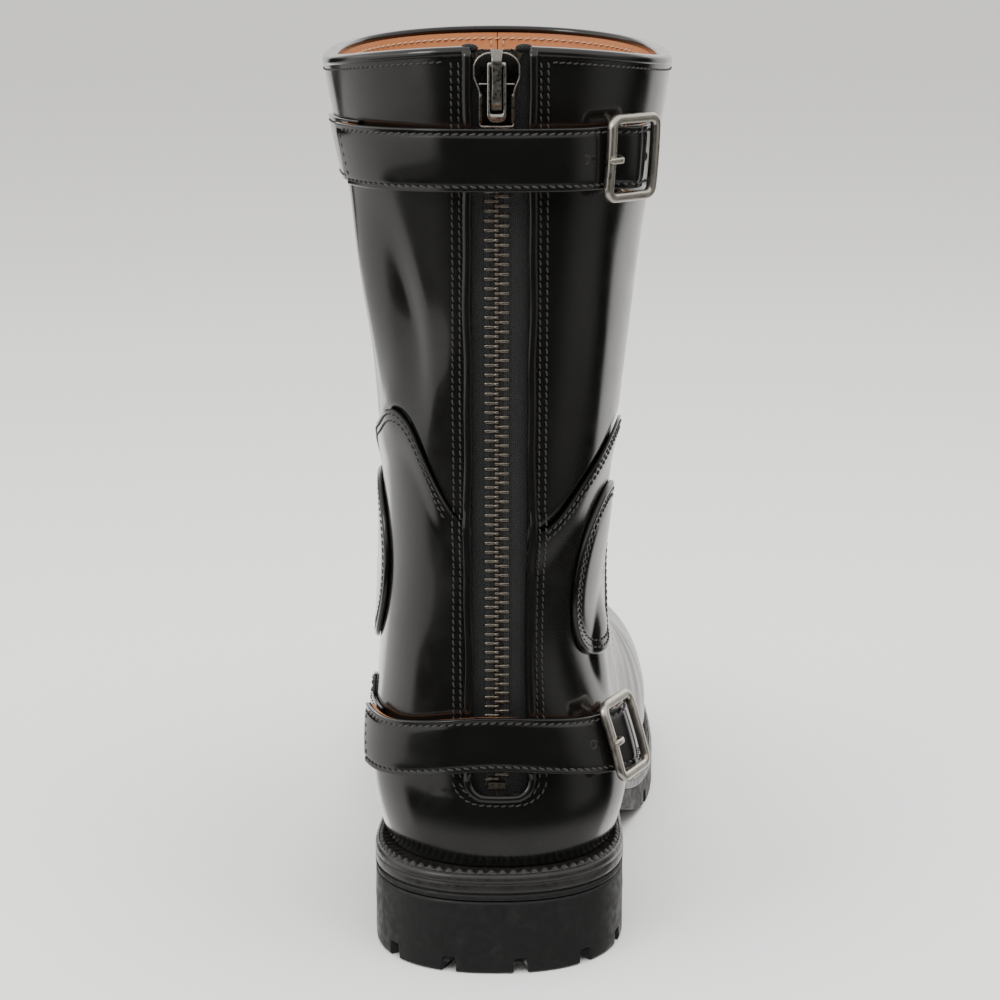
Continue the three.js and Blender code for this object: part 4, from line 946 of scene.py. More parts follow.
def slot_path(away):
    """Down the left side of the opening, round its lower end and up the right side, a little outside it."""
    x = np.concatenate([np.full(110, -SLOT_HALF - away), (SLOT_HALF - 5) * np.sign(np.cos(corner)) * np.minimum(1, np.abs(np.cos(corner)) * 5)
                        + (5 + away) * np.cos(corner), np.full(110, SLOT_HALF + away)])
    z = np.concatenate([legs, SLOT_BOTTOM + 5 + (5 + away) * np.sin(corner), legs[::-1]])
    return x, z


x, z = slot_path(0.9)
point, normal = on_back(x, z)
side = np.cross(normal, tangents(point))
relief = creases(slot_angle(x, z), z) + quarter_lift(slot_angle(x, z), z) * 0.6 * (z < 150)
roll = np.array([(1.3, -0.6), (1.45, 0.2), (1.2, 0.75), (0.6, 1.05), (-0.1, 1.1), (-0.9, 0.85), (-1.35, 0.3), (-1.5, -0.6), (-1.4, -1.8), (-0.9, -2.3), (0.2, -2.3), (1.1, -1.6)])
wobble = 0.25 * np.sin(z / 13) + 0.15 * np.sin(z / 5.1)
rolled = point + normal * relief[:, None] + side * wobble[:, None]
tube("zip_edge_roll", sweep(rolled, side, normal, roll), POLISHED, "boot", "zip_piping")
print("rolled edge", len(rolled), "stations")


# %% Tapes
def chain_x(z):
    """The chain's middle: the same x, ZIP_X, at every height."""
    return ZIP_X + 0 * z


for side, name in ((-1, "left"), (1, "right")):
    z = np.concatenate([np.linspace(SLOT_BOTTOM - 5, BOOT_HEIGHT - 1.6, 150)])
    x = chain_x(z)[:, None] + side * np.linspace(0.02, 13.4, 18)[None]
    z2 = np.broadcast_to(z[:, None], x.shape)
    point, normal = on_back(x, z2)
    puff = 0.25 * hump((np.abs(x) - 7) / 2.5) * (0.6 + 0.4 * np.sin(z2 / 3.7 + side))
    under = -0.35 * smooth((np.abs(x) - SLOT_HALF + 0.6) / 1.2)
    out = (OUT_TAPE + puff + under + creases(slot_angle(x, z2), z2))[..., None]
    leather(f"zip_tape_{name}_cloth", point + normal * out, point + normal * (out - 0.6), TAPE, "boot", "zip_tape_" + name, edge=0.15)
    # Folded top end: a soft roll of tape.
    xs = ZIP_X + side * np.linspace(5.8, 11.2, 15)
    middle, normal = on_back(xs, np.full(15, BOOT_HEIGHT - 1.2))
    up = np.tile([0.0, 0.0, 1.0], (15, 1))
    thick = np.sqrt(np.clip(1 - np.linspace(-1, 1, 15) ** 4, 0.05, 1))[:, None, None]
    tube(f"tape_fold_{name}", sweep(middle + normal * (TAPE_MIDDLE + 0.6) + up * 0.3 * np.sin(np.linspace(0, 3, 15))[:, None], normal, up, thick * rounded(2.6, 2.0, 2.2, 14)), TAPE, "boot")
print("tapes done")

# %% Teeth
TOOTH_PITCH, CHAIN_START, CHAIN_TOP = 3.0, SLOT_BOTTOM + 4.5, 276
COUNT = int((CHAIN_TOP - CHAIN_START) // TOOTH_PITCH)


def teeth(side, name):
    """All teeth of one row: eight-sided rings at seven stations from the head in the middle to the clamp's back."""
    z = CHAIN_START + (TOOTH_PITCH / 2 if side > 0 else 0) + np.arange(COUNT) * TOOTH_PITCH
    y = back_line(z) - TAPE_MIDDLE
    station = np.array([-0.75, -0.55, 0.35, 0.75, 1.35, 3.75, 4.05])
    tall = np.array([0.35, 0.62, 0.62, 0.36, 0.62, 0.66, 0.40])
    deep = np.array([0.55, 1.15, 1.15, 0.85, 1.15, 1.25, 0.8])
    t = (np.arange(8) + 0.5) * np.pi / 4
    ring = np.stack([np.sign(np.cos(t)) * np.abs(np.cos(t)) ** 0.6, np.sign(np.sin(t)) * np.abs(np.sin(t)) ** 0.6], -1)
    local = np.stack(np.broadcast_arrays(side * station[:, None], -deep[:, None] * ring[:, 0], tall[:, None] * ring[:, 1]), -1)
    sway = 0.05 * np.sin(np.arange(COUNT) * 2.4 + side)
    centre = np.stack([chain_x(z), y, z + sway], -1)
    points = centre[:, None, None] + local[None]
    caps = [[7, 6, 1, 0], [6, 5, 2, 1], [5, 4, 3, 2], [48, 49, 54, 55], [49, 50, 53, 54], [50, 51, 52, 53]]
    one = np.concatenate([grid_faces(7, 8, 0, True), caps])
    faces = (one[None] + (np.arange(COUNT) * 56)[:, None, None]).reshape(-1, 4)
    piece = make_mesh("teeth_" + name, points.reshape(-1, 3), faces, TEETH, "boot", "zip_teeth_" + name)
    outward(piece)
    return soften(piece, 0.12, 1, 50)


for side, name in ((-1, "left"), (1, "right")):
    print(teeth(side, name).name, COUNT, "teeth")
cord_z = np.linspace(CHAIN_START - 2, CHAIN_TOP, 120)
for side in (-1, 1):
    path = np.stack([chain_x(cord_z) + side * 3.0, back_line(cord_z) - TAPE_MIDDLE, cord_z], -1)
    tube(f"tooth_cord_{'left' if side < 0 else 'right'}", sweep(path, np.tile([1.0, 0, 0], (120, 1)), np.tile([0, -1.0, 0], (120, 1)), rounded(1.7, 1.7, 2, 10)), TAPE, "boot")


# %% [markdown]
# ## Slider and pull
# The slider is two plates joined above the chain, with a crown, an arch that holds the pull. Flat pieces of metal are
# drawn as an outline in the plane of the zip and carried through their thickness, with the edges drawn in a little.

# %% Flat metal helper
def plate(name, outline, front, back, finish, body_name, stands_for=(), inset=0.35, dome=0.0):
    """A closed plate from an outline in x and z: rings drawn in at front and back, closed at the middle."""
    outline = np.asarray(outline, float)
    centre = outline.mean(0)
    normal = np.stack([tangents(outline, True)[:, 1], -tangents(outline, True)[:, 0]], -1)
    if ((outline - centre) * normal).sum() < 0:
        normal = -normal
    levels = [(0.0, back, 9), (inset, back, 0), (0.0, back + inset, 0), (0.0, front - inset, 0), (inset * 0.35, front - inset * 0.3, 0), (inset, front, 0), (0.0, front + dome, 4), (0.0, front + dome, 9)]
    rings = []
    for draw, out, shrink in levels:
        flat = outline - normal * draw if shrink == 0 else mix(outline - normal * inset, centre, 0.5 if shrink == 4 else 1.0)
        rings.append(np.stack([flat[:, 0], np.full(len(flat), BACK_PLANE - out), flat[:, 1]], -1))
    return tube(name, np.array(rings), finish, body_name, stands_for)


def outline_through(points, count=96, bend=3):
    """A closed outline: corner points joined by straight lines, evenly spaced and then averaged to round the corners."""
    corners = np.asarray(points, float)
    loop = np.concatenate([corners, corners[:1]])
    length = np.concatenate([[0], np.cumsum(np.linalg.norm(np.diff(loop, axis=0), axis=1))])
    at = np.linspace(0, length[-1], count, endpoint=False)
    line = np.stack([np.interp(at, length, loop[:, k]) for k in (0, 1)], -1)
    for _ in range(bend):
        line = (np.roll(line, 1, 0) + 2 * line + np.roll(line, -1, 0)) / 4
    return line


# %% Slider
SLIDER_TOP = BOOT_HEIGHT - 2.6
PLATE_IN = TAPE_MIDDLE + 1.2 + 0.45
PLATE_OUT = PLATE_IN + 1.1
half_outline = [(3.2, 0.0), (5.6, 1.3), (6.9, 3.4), (6.9, 7.4), (5.5, 10.6), (5.0, 12.8), (5.2, 22.0)]
slider_points = [(ZIP_X + w, SLIDER_TOP - d) for w, d in half_outline] + [(ZIP_X - w, SLIDER_TOP - d) for w, d in half_outline[::-1]]
plate("slider_plate", outline_through(slider_points, 120, 2), PLATE_OUT, PLATE_IN, BLACK_METAL, "slider", "slider_body", inset=0.4, dome=0.12)
rim_line = outline_through(slider_points, 120, 2)
rim_side = np.stack([tangents(rim_line, True)[:, 1], -tangents(rim_line, True)[:, 0]], -1)
rim_path = np.stack([rim_line[:, 0], np.full(120, BACK_PLANE - PLATE_OUT + 0.18), rim_line[:, 1]], -1)
rim_side = np.stack([rim_side[:, 0], np.zeros(120), rim_side[:, 1]], -1)
tube("slider_bright_edge", sweep(rim_path, rim_side, np.tile([0, -1.0, 0], (120, 1)), rounded(0.6, 0.6, 2, 8)), BRIGHT, "slider", closed=True)
back_out = TAPE_MIDDLE - 1.2 - 0.8
plate("slider_rear_plate", outline_through(slider_points, 120, 2), back_out, back_out - 1.1, AGED, "slider", "slider_back_plate", inset=0.35)
for side in (-1, 1):
    z = np.linspace(SLIDER_TOP - 21.8, SLIDER_TOP - 11.5, 14)
    for low, high, face in ((PLATE_IN - 0.45, PLATE_OUT + 0.25, "front"), (back_out - 0.4, back_out + 0.45, "rear")):
        path = np.stack([np.full(14, ZIP_X + side * 4.95), np.full(14, BACK_PLANE - (low + high) / 2), z], -1)
        ends = np.sqrt(np.clip(1 - np.linspace(-1, 1, 14) ** 8, 0.08, 1))[:, None, None]
        tube(f"slider_flange_{face}_{'left' if side < 0 else 'right'}", sweep(path, np.tile([1.0, 0, 0], (14, 1)), np.tile([0, -1.0, 0], (14, 1)), ends * rounded(1.15, high - low, 4, 12)),
             AGED, "slider")
ridge_z = SLIDER_TOP - 9.2
for side in (-1, 1):
    path = np.stack([ZIP_X + side * np.linspace(1.9, 5.4, 8), np.full(8, BACK_PLANE - PLATE_OUT), np.full(8, ridge_z)], -1)
    tube(f"slider_ridge_{'left' if side < 0 else 'right'}", sweep(path, np.tile([0, 0, 1.0], (8, 1)), np.tile([0, -1.0, 0], (8, 1)), rounded(0.5, 0.5, 2.5, 8)), BRIGHT, "slider")

# %% Crown and pull
crown_top, crown_bottom = SLIDER_TOP + 1, SLIDER_TOP + 1 - 18.6
arch = spline([(0, -0.2), (0.05, 1.6), (0.13, 2.85), (0.4, 3.0), (0.75, 3.0), (0.9, 2.5), (0.97, 1.2), (1, -0.2)])
s = np.linspace(0, 1, 60)
path = np.stack([np.full(60, float(ZIP_X)), BACK_PLANE - PLATE_OUT - np.clip(arch(s), -0.2, 3.05), mix(crown_top - 0.4, crown_bottom + 0.5, s)], -1)
across = np.tile([1.0, 0, 0], (60, 1))
lift = np.cross(tangents(path), across)
CROWN = aged_metal("polished slider metal", (0.40, 0.38, 0.35), (0.20, 0.19, 0.17))
wide = (3.3 - 0.5 * hump((s - 0.5) / 0.3) + 0.5 * hump(s / 0.08))[:, None]
section = np.stack([wide / 3.4, np.full((60, 1), 1.0)], -1) * rounded(3.4, 1.15, 5, 20)
tube("slider_arch", sweep(path, across, lift, section), CROWN, "slider", "slider_crown")
tab_half, tab_pin = 2.9, crown_top - 4.3
tab_slot_low = crown_bottom - 0.4
tab_low = tab_slot_low - 2.6
outer_line = outline_through([(-tab_half, tab_pin + 0.7), (-tab_half, tab_low + 1.2), (-tab_half + 1.2, tab_low), (tab_half - 1.2, tab_low), (tab_half, tab_low + 1.2), (tab_half, tab_pin + 0.7)], 160, 6)
inner_line = outline_through([(-2.0, tab_pin - 0.7), (-2.0, tab_slot_low), (2.0, tab_slot_low), (2.0, tab_pin - 0.7)], 160, 4)
turned_to = np.argmin(((inner_line[:, None] - outer_line[None, :1]) ** 2).sum(-1)[:, 0])
inner_line = np.roll(inner_line, -turned_to, 0)
if np.linalg.norm(inner_line[10] - outer_line[10]) > np.linalg.norm(inner_line[-10] - outer_line[10]):
    inner_line = np.roll(inner_line[::-1], 1, 0)
low, high = PLATE_OUT + 0.4, PLATE_OUT + 1.6
loop = [(outer_line, 0.3, low), (outer_line, 0, low + 0.3), (outer_line, 0, high - 0.3), (outer_line, 0.3, high), (inner_line, 0.3, high), (inner_line, 0, high - 0.3), (inner_line, 0, low + 0.3), (inner_line, 0.3, low)]
rings = []
for line, draw, out in loop:
    other = inner_line if line is outer_line else outer_line
    flat = mix(line, other, draw / 2.2)
    rings.append(np.stack([ZIP_X + flat[:, 0], np.full(160, BACK_PLANE - out), flat[:, 1]], -1))
tube("pull_plate", np.array(rings).transpose(1, 0, 2), BRIGHT, "pull_tab", "pull_tab", closed=True)
print("slider stands", round(PLATE_OUT + 3.6, 1), "mm out of the leather")

# %% [markdown]
# ## Straps
# Two straps run round the back, each from a sewn end on the inner side, over the zip, to a buckle on the outer side.
# A strap is a band on the leg that stands off it: a little at its ends, further over the zip, and highest where it
# rides over the bar of the buckle. It is two leathers sewn together, black outside and tan inside.

# %% Where a buckle sits
STRAP_WIDTH, STRAP_OUTER, STRAP_BACKING, GAP = 19, 1.6, 1.1, 0.3
FRAME_WIDTH, FRAME_HEIGHT, FRAME_BAR, FRAME_DEPTH = 22.5, 27, 3, 2.4
BAR_HEIGHT = 3.1
STRAP_AT_BAR, STRAP_BESIDE_BAR = 6.0, 3.7
STRAP_TOTAL = STRAP_BACKING + GAP + STRAP_OUTER
FRAME_LIFT = STRAP_BESIDE_BAR + STRAP_TOTAL + GAP + FRAME_DEPTH / 2


class Place:
    """A buckle's own frame: u forward along the strap, v up, n out of the leather."""

    def __init__(self, angle, height):
        (self.point,), (self.n,) = on_leg(np.array([float(angle)]), np.array([float(height)]))
        self.u = unit(np.cross([0, 0, 1.0], self.n))
        self.v = np.cross(self.n, self.u)

    def at(self, u, v, n):
        u, v, n = np.broadcast_arrays(np.asarray(u, float), v, n)
        return self.point + u[..., None] * self.u + v[..., None] * self.v + n[..., None] * self.n


def strap_lift(place, buckle_angle, height, sewn, stand_off):
    """Height of a strap over the leather by angle, a spline through its resting places."""
    angles = np.linspace(buckle_angle - 60, buckle_angle + 60, 400)
    point, normal = on_leg(angles, np.full(400, float(height(buckle_angle))))
    forward = ((point + normal * STRAP_AT_BAR) - place.point) @ place.u
    at = lambda u: float(np.interp(u, forward, angles))
    lift = spline([(sewn, 0.5), (mix(sewn, 0, 0.3), 1.3 + 0.15 * stand_off), (-14, stand_off), (14, stand_off),
                   (at(-14.75), mix(stand_off, STRAP_BESIDE_BAR, 0.6)), (at(-9.25), STRAP_BESIDE_BAR), (at(0), STRAP_AT_BAR + 0.1),
                   (at(9.25), STRAP_BESIDE_BAR), (at(14.75), STRAP_BESIDE_BAR)])
    return lift, at


def applique(name, angle, height, outline, under, top, finish=None, stands_for=(), stitch_in=(1.7,)):
    """A small flat piece sewn on: its outline, in millimetres across and up, is shrunk in rings and dropped on the leg."""
    (centre,), (normal,) = on_leg(np.array([float(angle)]), np.array([float(height)]))
    across = unit(np.cross([0, 0, 1.0], normal))
    up = np.cross(normal, across)
    outline = np.asarray(outline, float)
    middle = outline.mean(0)
    out_n = np.stack([tangents(outline, True)[:, 1], -tangents(outline, True)[:, 0]], -1)
    if ((outline - middle) * out_n).sum() < 0:
        out_n = -out_n
    rings = [(1.0, 0, top), (0.6, 0, top), (0.3, 0, top), (0.0, 1.0, top), (0.0, 0.3, top - 0.12), (0.0, 0.0, top - 0.45), (0.0, 0.0, under + 0.1), (0.0, 0.3, under), (0.5, 0, under), (1.0, 0, under)]

    def drop(flat2):
        flat = centre + flat2[..., :1] * across + flat2[..., 1:] * up
        a = np.degrees(np.arctan2(flat[..., 0] - leg_centre(flat[..., 2]), 22 - flat[..., 1]))
        p, n = on_leg(a, flat[..., 2])
        return p + n * creases(a, flat[..., 2])[..., None], n

    flat2 = np.array([mix(outline - out_n * draw, middle, share) for share, draw, _ in rings])
    p, n = drop(flat2)
    lift = np.array([r[2] for r in rings])[:, None, None]
    piece = tube(name, p + n * lift, finish or POLISHED, "boot", stands_for)
    for row, inset in enumerate(stitch_in):
        p, n = drop(outline - out_n * inset)
        stitches(f"{name}_stitch_{row}", p + n * (top - 0.1), n, pitch=2.5, closed=True)
    return piece


# %% Straps with their stitching
TAB = 27  # degrees of sewn tab that show beyond the strap


def strap(name, buckle_angle, sewn, height, stand_off, holes):
    place = Place(buckle_angle, height(buckle_angle))
    lift, at = strap_lift(place, buckle_angle, height, sewn, stand_off)
    end = at(FRAME_WIDTH / 2 + 4)
    start = sewn + TAB
    angle = np.linspace(start, end, 240)
    w = np.concatenate([np.linspace(-9.5, -6.5, 9), np.linspace(-5.2, 5.2, 7), np.linspace(6.5, 9.5, 9)])

    def surface(angle, w, out):
        angle, w = np.broadcast_arrays(angle, w)
        z = height(angle) + w * place.v[2]
        p, n = on_leg(angle, z)
        rise = lift(angle) + out + 0.4 * creases(angle, z) * hump((angle - sewn) / 40)
        return p + n * rise[..., None], n

    crown = 0.22 * (1 - (w / 9.5) ** 2) - 0.20 * hump((np.abs(w) - 7.9) / 0.8)
    # The sewn end is cut on the slant.
    slant = angle[None] + (4.5 * (0.5 - w / 19))[:, None] * (1 - smooth((angle - start) / 25))[None]
    top, _ = surface(slant, w[:, None], STRAP_TOTAL + crown[:, None])
    low, _ = surface(slant, w[:, None], np.full((len(w), 1), STRAP_BACKING + 0.05))
    leather(name + "_strap_leather", top, low, POLISHED, "boot", name + "_strap", edge=0.4)
    wide = w[:, None] * 0.965
    top, _ = surface(slant, wide, np.full((len(w), 1), STRAP_BACKING))
    low, _ = surface(slant, wide, np.zeros((len(w), 1)))
    leather(name + "_strap_backing", top, low, TAN, "boot", name + "_strap_lining", edge=0.25)
    # The tab under that end: a strip of leather sewn flat on the leg, and a row of stitches across through both.
    tab_angle = np.linspace(sewn, start + 8, 60)
    def tab_surface(a, w, out):
        a, w = np.broadcast_arrays(a, w)
        z = height(a) + w * place.v[2]
        p, n = on_leg(a, z)
        return p + n * (0.2 + np.minimum(out, np.maximum(lift(a) - 0.25, 0.35) + 5 * (a < start - 1.5)) + creases(a, z))[..., None], n
    top, _ = tab_surface(tab_angle[None], w[:, None] * 1.03, 1.3 + 0.15 * (1 - (w / 9.5) ** 2)[:, None])
    low, _ = tab_surface(tab_angle[None], w[:, None] * 1.03, np.zeros((len(w), 1)))
    leather(name + "_strap_tab", top, low, POLISHED, "boot", edge=0.3)
    for side in (-1, 1):
        p, n = tab_surface(np.linspace(sewn + 1, start - 1, 60), side * 8.1, np.full(60, 1.25))
        stitches(f"{name}_tab_stitch_{'low' if side < 0 else 'high'}", p, n, pitch=2.7, width=0.62, rise=0.2, lean=side * 14)
    v = np.linspace(-7.9, 7.9, 40)
    p, n = surface(start + 2.6 + 4.5 * (0.5 - v / 19), v, STRAP_TOTAL - 0.05)
    stitches(f"{name}_strap_stitch_across", p, n, pitch=2.7, width=0.62, rise=0.2)
    row_angle = np.linspace(start + 4, end - 1, 200)
    for side in (-1, 1):
        p, n = surface(row_angle, side * 7.9, STRAP_TOTAL - 0.08)
        stitches(f"{name}_strap_stitch_{'low' if side < 0 else 'high'}", p, n, pitch=2.7, width=0.62, rise=0.2, lean=side * 14)
    for k, u in enumerate(holes):
        spread = np.linspace(0, 2 * np.pi, 20, endpoint=False)
        a0 = at(u) if u > -30 else buckle_angle + (u / 0.9)
        (c,), (n,) = surface(np.array([a0]), np.array([0.0]), STRAP_TOTAL + 0.22)
        uu = unit(np.cross([0, 0, 1.0], n))
        vv = np.cross(n, uu)
        ring = lambda r, h: c + n * h + r * (np.cos(spread)[:, None] * uu + np.sin(spread)[:, None] * vv)
        tube(f"{name}_strap_hole_{k}", np.array([ring(1.55, -0.35), ring(1.6, 0.02), ring(1.45, 0.09), ring(1.22, 0.06), ring(1.12, 0.0), ring(0.9, -0.03)]), EDGE, "boot")
    return place, at


upper_height = lambda a: 263 + 0 * np.asarray(a, float)
lower_height = lambda a: 77 - 6 * smooth(np.abs(a) / 45)
upper, upper_at = strap("upper", 41, -86, upper_height, 6.6, (-17.2, 5.2))
lower, lower_at = strap("lower", 46, -84, lower_height, 3.3, (-15.5,))
print("straps done")

# %% [markdown]
# ## Buckles
# A buckle frame is a bar bent into a rounded rectangle: a soft-cornered section carried round the outline. The prong
# turns on the middle bar, comes up through a hole in the strap and rests on the near side of the frame.


# %% Buckle, prong and chape
def rounded_path(width, height, radius, count=120):
    """A rectangle with round corners, evenly spaced."""
    t = np.linspace(0, np.pi / 2, 10)
    arcs = [np.stack([sx * (width / 2 - radius) + radius * np.cos(t + k * np.pi / 2), sy * (height / 2 - radius) + radius * np.sin(t + k * np.pi / 2)], -1)
            for k, (sx, sy) in enumerate([(1, 1), (-1, 1), (-1, -1), (1, -1)])]
    line = np.concatenate(arcs)
    loop = np.concatenate([line, line[:1]])
    length = np.concatenate([[0], np.cumsum(np.linalg.norm(np.diff(loop, axis=0), axis=1))])
    at = np.linspace(0, length[-1], count, endpoint=False)
    return np.stack([np.interp(at, length, loop[:, k]) for k in (0, 1)], -1)


def buckle(name, place, at, buckle_angle, height):
    flat = rounded_path(FRAME_WIDTH - FRAME_BAR, FRAME_HEIGHT - FRAME_BAR, 2.6)
    bow = 0.35 * np.cos(flat[:, 1] / 12 * np.pi / 2)
    path = place.at(flat[:, 0], flat[:, 1], FRAME_LIFT - 0.35 + bow)
    side2 = np.stack([tangents(flat, True)[:, 1], -tangents(flat, True)[:, 0]], -1)
    side = side2[:, :1] * place.u + side2[:, 1:] * place.v
    up = np.tile(place.n, (len(path), 1))
    section = np.array([(-1.5, -0.9), (-1.25, -1.2), (1.25, -1.2), (1.5, -0.9), (1.5, 0.35), (1.2, 0.95), (0.75, 1.2), (-0.75, 1.2), (-1.2, 0.95), (-1.5, 0.35)])
    tube(name + "_buckle_frame", sweep(path, side, up, section), NICKEL, "boot", name + "_buckle", closed=True)
    v = np.linspace(-12.2, 12.2, 24)
    bar = place.at(np.zeros(24), v, BAR_HEIGHT + (FRAME_LIFT - BAR_HEIGHT) * smooth((np.abs(v) - 10.0) / 2.0))
    tube(name + "_buckle_bar", sweep(bar, np.tile(place.u, (24, 1)), np.cross(place.u, tangents(bar)), rounded(2.0, 2.0, 2, 14)), NICKEL, "boot")
    # Prong: the eye, then the shank.
    t = np.linspace(0, 2 * np.pi, 28, endpoint=False)
    eye = place.at(1.75 * np.cos(t), np.zeros(28), BAR_HEIGHT + 1.75 * np.sin(t))
    radial = np.cos(t)[:, None] * place.u + np.sin(t)[:, None] * place.n
    tube(name + "_prong_eye", sweep(eye, radial, np.tile(place.v, (28, 1)), rounded(0.85, 2.4, 3, 10)), NICKEL, name + "_prong", name + "_prong", closed=True)
    knots = [(0.4, 4.75), (-1.6, 4.85), (-3.6, 5.5), (-5.2, 7.4), (-6.4, 9.5), (-7.8, 10.4), (-10.2, 10.52), (-12.8, 10.42)]
    s = np.linspace(0, 7, 60)
    us = spline(list(enumerate(k[0] for k in knots)))(s)
    ns = spline(list(enumerate(k[1] for k in knots)))(s)
    path = place.at(us, np.zeros(60), ns)
    width = mix(2.3, 1.9, s / 7) * np.sqrt(np.clip(1 - smooth((s - 6.5) / 0.55) * 0.9, 0.05, 1))
    thick = mix(1.5, 1.35, s / 7) * np.sqrt(np.clip(1 - smooth((s - 6.5) / 0.55) * 0.9, 0.05, 1))
    scale = np.stack([width / 2.3, thick / 1.5], -1)[:, None]
    tube(name + "_prong_shank", sweep(path, np.tile(place.v, (60, 1)), np.cross(place.v, tangents(path)), scale * rounded(2.3, 1.5, 3, 14)), NICKEL, name + "_prong")
    # Chape: a loop round the bar, and a pointed end sewn down beyond the frame.
    t = np.linspace(0, 2 * np.pi, 36, endpoint=False)
    ring = place.at(1.8 * np.cos(t), np.zeros(36), BAR_HEIGHT + 1.8 * np.sin(t))
    radial = np.cos(t)[:, None] * place.u + np.sin(t)[:, None] * place.n
    for part, low, high in (("low", -8.6, -1.7), ("high", 1.7, 8.6)):
        middle = ring + place.v * (low + high) / 2
        tube(f"{name}_chape_loop_{part}", sweep(middle, radial, np.tile(place.v, (36, 1)), rounded(0.95, high - low, 8, 14)), POLISHED, "boot", name + "_chape" if part == "low" else (), closed=True)
    pointed = outline_through([(1.5, -8.7), (18.5, -8.7), (25.5, 0), (18.5, 8.7), (1.5, 8.7)], 110, 3)
    applique(name + "_chape_end", buckle_angle, height, pointed, 0.35, 1.75, stitch_in=(1.6, 3.6))


buckle("upper", upper, upper_at, 41, 263.0)
buckle("lower", lower, lower_at, 46, float(lower_height(46)))

# %% Sewn ends on the inner side
anchor = outline_through([(-12, -9.0), (9, -9.0), (9, 9.0), (-12, 9.0)], 110, 3)
applique("upper_strap_anchor", -78, 263, anchor, 0.1, 0.45, stitch_in=())
pentagon = outline_through([(-13, -8), (4, -9.2), (6.5, -2), (1.5, 12.5), (-11, 9.5)], 110, 3)
applique("lower_strap_anchor", -77, 73.5, pentagon, 0.1, 1.5, stitch_in=(1.6,))
print("buckles and anchors done")

# %% [markdown]
# ## Welt, midsole, sole and heel
# These follow one outline, seen from below. A ring of points on it is moved in or out by a profile, and lifted to the
# height that the sole has there. Notches between the lugs are places where the ring steps inwards.


# %% The outline of the sole
def sole_field(x, y):
    end = np.where(y < HEEL_PIVOT, (HEEL_PIVOT - y) / (HEEL_PIVOT - HEEL_EDGE), np.maximum(0, (y - TOE_PIVOT) / (along(1) - TOE_PIVOT)))
    half = sole_half(y)
    return ((np.abs((x - sole_centre(y)) / half) ** 2.3 + end**2.3) ** (1 / 2.3) - 1) * half


def outline_points(count):
    """The sole's outline, evenly spaced, from the back of the heel round by the outer side."""
    fan = np.radians(np.linspace(0, 90, 60))
    run = np.linspace(HEEL_PIVOT, TOE_PIVOT, 160)[1:-1]
    start = np.concatenate([np.full(60, HEEL_PIVOT), run, np.full(60, TOE_PIVOT)])
    toward = np.concatenate([np.stack([np.sin(fan), -np.cos(fan)], -1), np.tile([1.0, 0.0], (158, 1)), np.stack([np.cos(fan), np.sin(fan)], -1)])
    halves = []
    for side in (1, -1):
        ray = toward * [side, 1]
        origin = np.stack([sole_centre(start), start], -1)
        inside, outside = np.zeros(278), np.full(278, 150.0)
        for _ in range(30):
            middle = (inside + outside) / 2
            p = origin + ray * middle[:, None]
            within = sole_field(p[:, 0], p[:, 1]) < 0
            inside, outside = np.where(within, middle, inside), np.where(within, outside, middle)
        halves.append(origin + ray * inside[:, None])
    loop = np.concatenate([halves[0], halves[1][::-1][1:]])
    length = np.concatenate([[0], np.cumsum(np.linalg.norm(np.diff(loop, axis=0), axis=1))])
    at = np.linspace(0, length[-1], count, endpoint=False)
    return np.stack([np.interp(at, length, loop[:, k]) for k in (0, 1)], -1), length[-1]


OUTLINE, AROUND = outline_points(1400)
outline_normal = np.stack([tangents(OUTLINE, True)[:, 1], -tangents(OUTLINE, True)[:, 0]], -1)
for _ in range(6):
    outline_normal = unit(np.roll(outline_normal, 1, 0) + outline_normal + np.roll(outline_normal, -1, 0))
if ((OUTLINE - OUTLINE.mean(0)) * outline_normal).sum() < 0:
    outline_normal = -outline_normal
steps_along = np.arange(1400) * AROUND / 1400


def ring_at(draw, height, base, line=OUTLINE, normal=outline_normal):
    """The outline moved out by draw, at a height above a base line that depends on y."""
    flat = line + normal * np.broadcast_to(draw, len(line))[:, None]
    return np.concatenate([flat, (base(flat[:, 1]) + height)[:, None] if np.ndim(height) else (base(flat[:, 1]) + height)[:, None]], -1)


def filled(name, rings, centre, base_top, top, base_low, low, finish, stands_for):
    """Closes a run of rings, top to bottom, over the middle at both ends."""
    def towards(ring, share, base, height):
        flat = mix(ring[:, :2], np.asarray(centre), share)
        return np.concatenate([flat, (base(flat[:, 1]) + height)[:, None]], -1)
    before = [towards(rings[0], s, base_top, top) for s in (1.0, 0.75, 0.5, 0.25)]
    after = [towards(rings[-1], s, base_low, low) for s in (0.25, 0.5, 0.75, 1.0)]
    return tube(name, np.array(before + list(rings) + after), finish, "boot", stands_for)


# %% Welt and midsole
tooth = 0.5 + 0.5 * np.sin(2 * np.pi * steps_along / (AROUND / round(AROUND / 3.6)))
welt_profile = [(-16.5, 0.15, 0), (-16.5, 2.9, 0), (-8, 3.0, 0), (-3.4, 3.0, 0), (-3.1, 3.7, 0.9), (-2.6, 4.2, 1.4), (-2.0, 4.2, 1.4), (-1.55, 3.5, 0.7),
                (-1.2, 2.95, 0), (-0.9, 2.85, 0), (-0.35, 2.5, 0), (-0.05, 1.9, 0), (0.05, 1.2, 0), (0.1, 0.05, 0), (-1.2, -0.1, 0), (-8, 0.05, 0)]
welt_base = lambda y: midsole_bottom(y) + 3.3
rings = np.array([ring_at(d, h - 0.8 * k * (1 - tooth), welt_base) for d, h, k in welt_profile])
tube("welt_strip", rings.transpose(1, 0, 2), EDGE, "boot", "welt", closed=True)
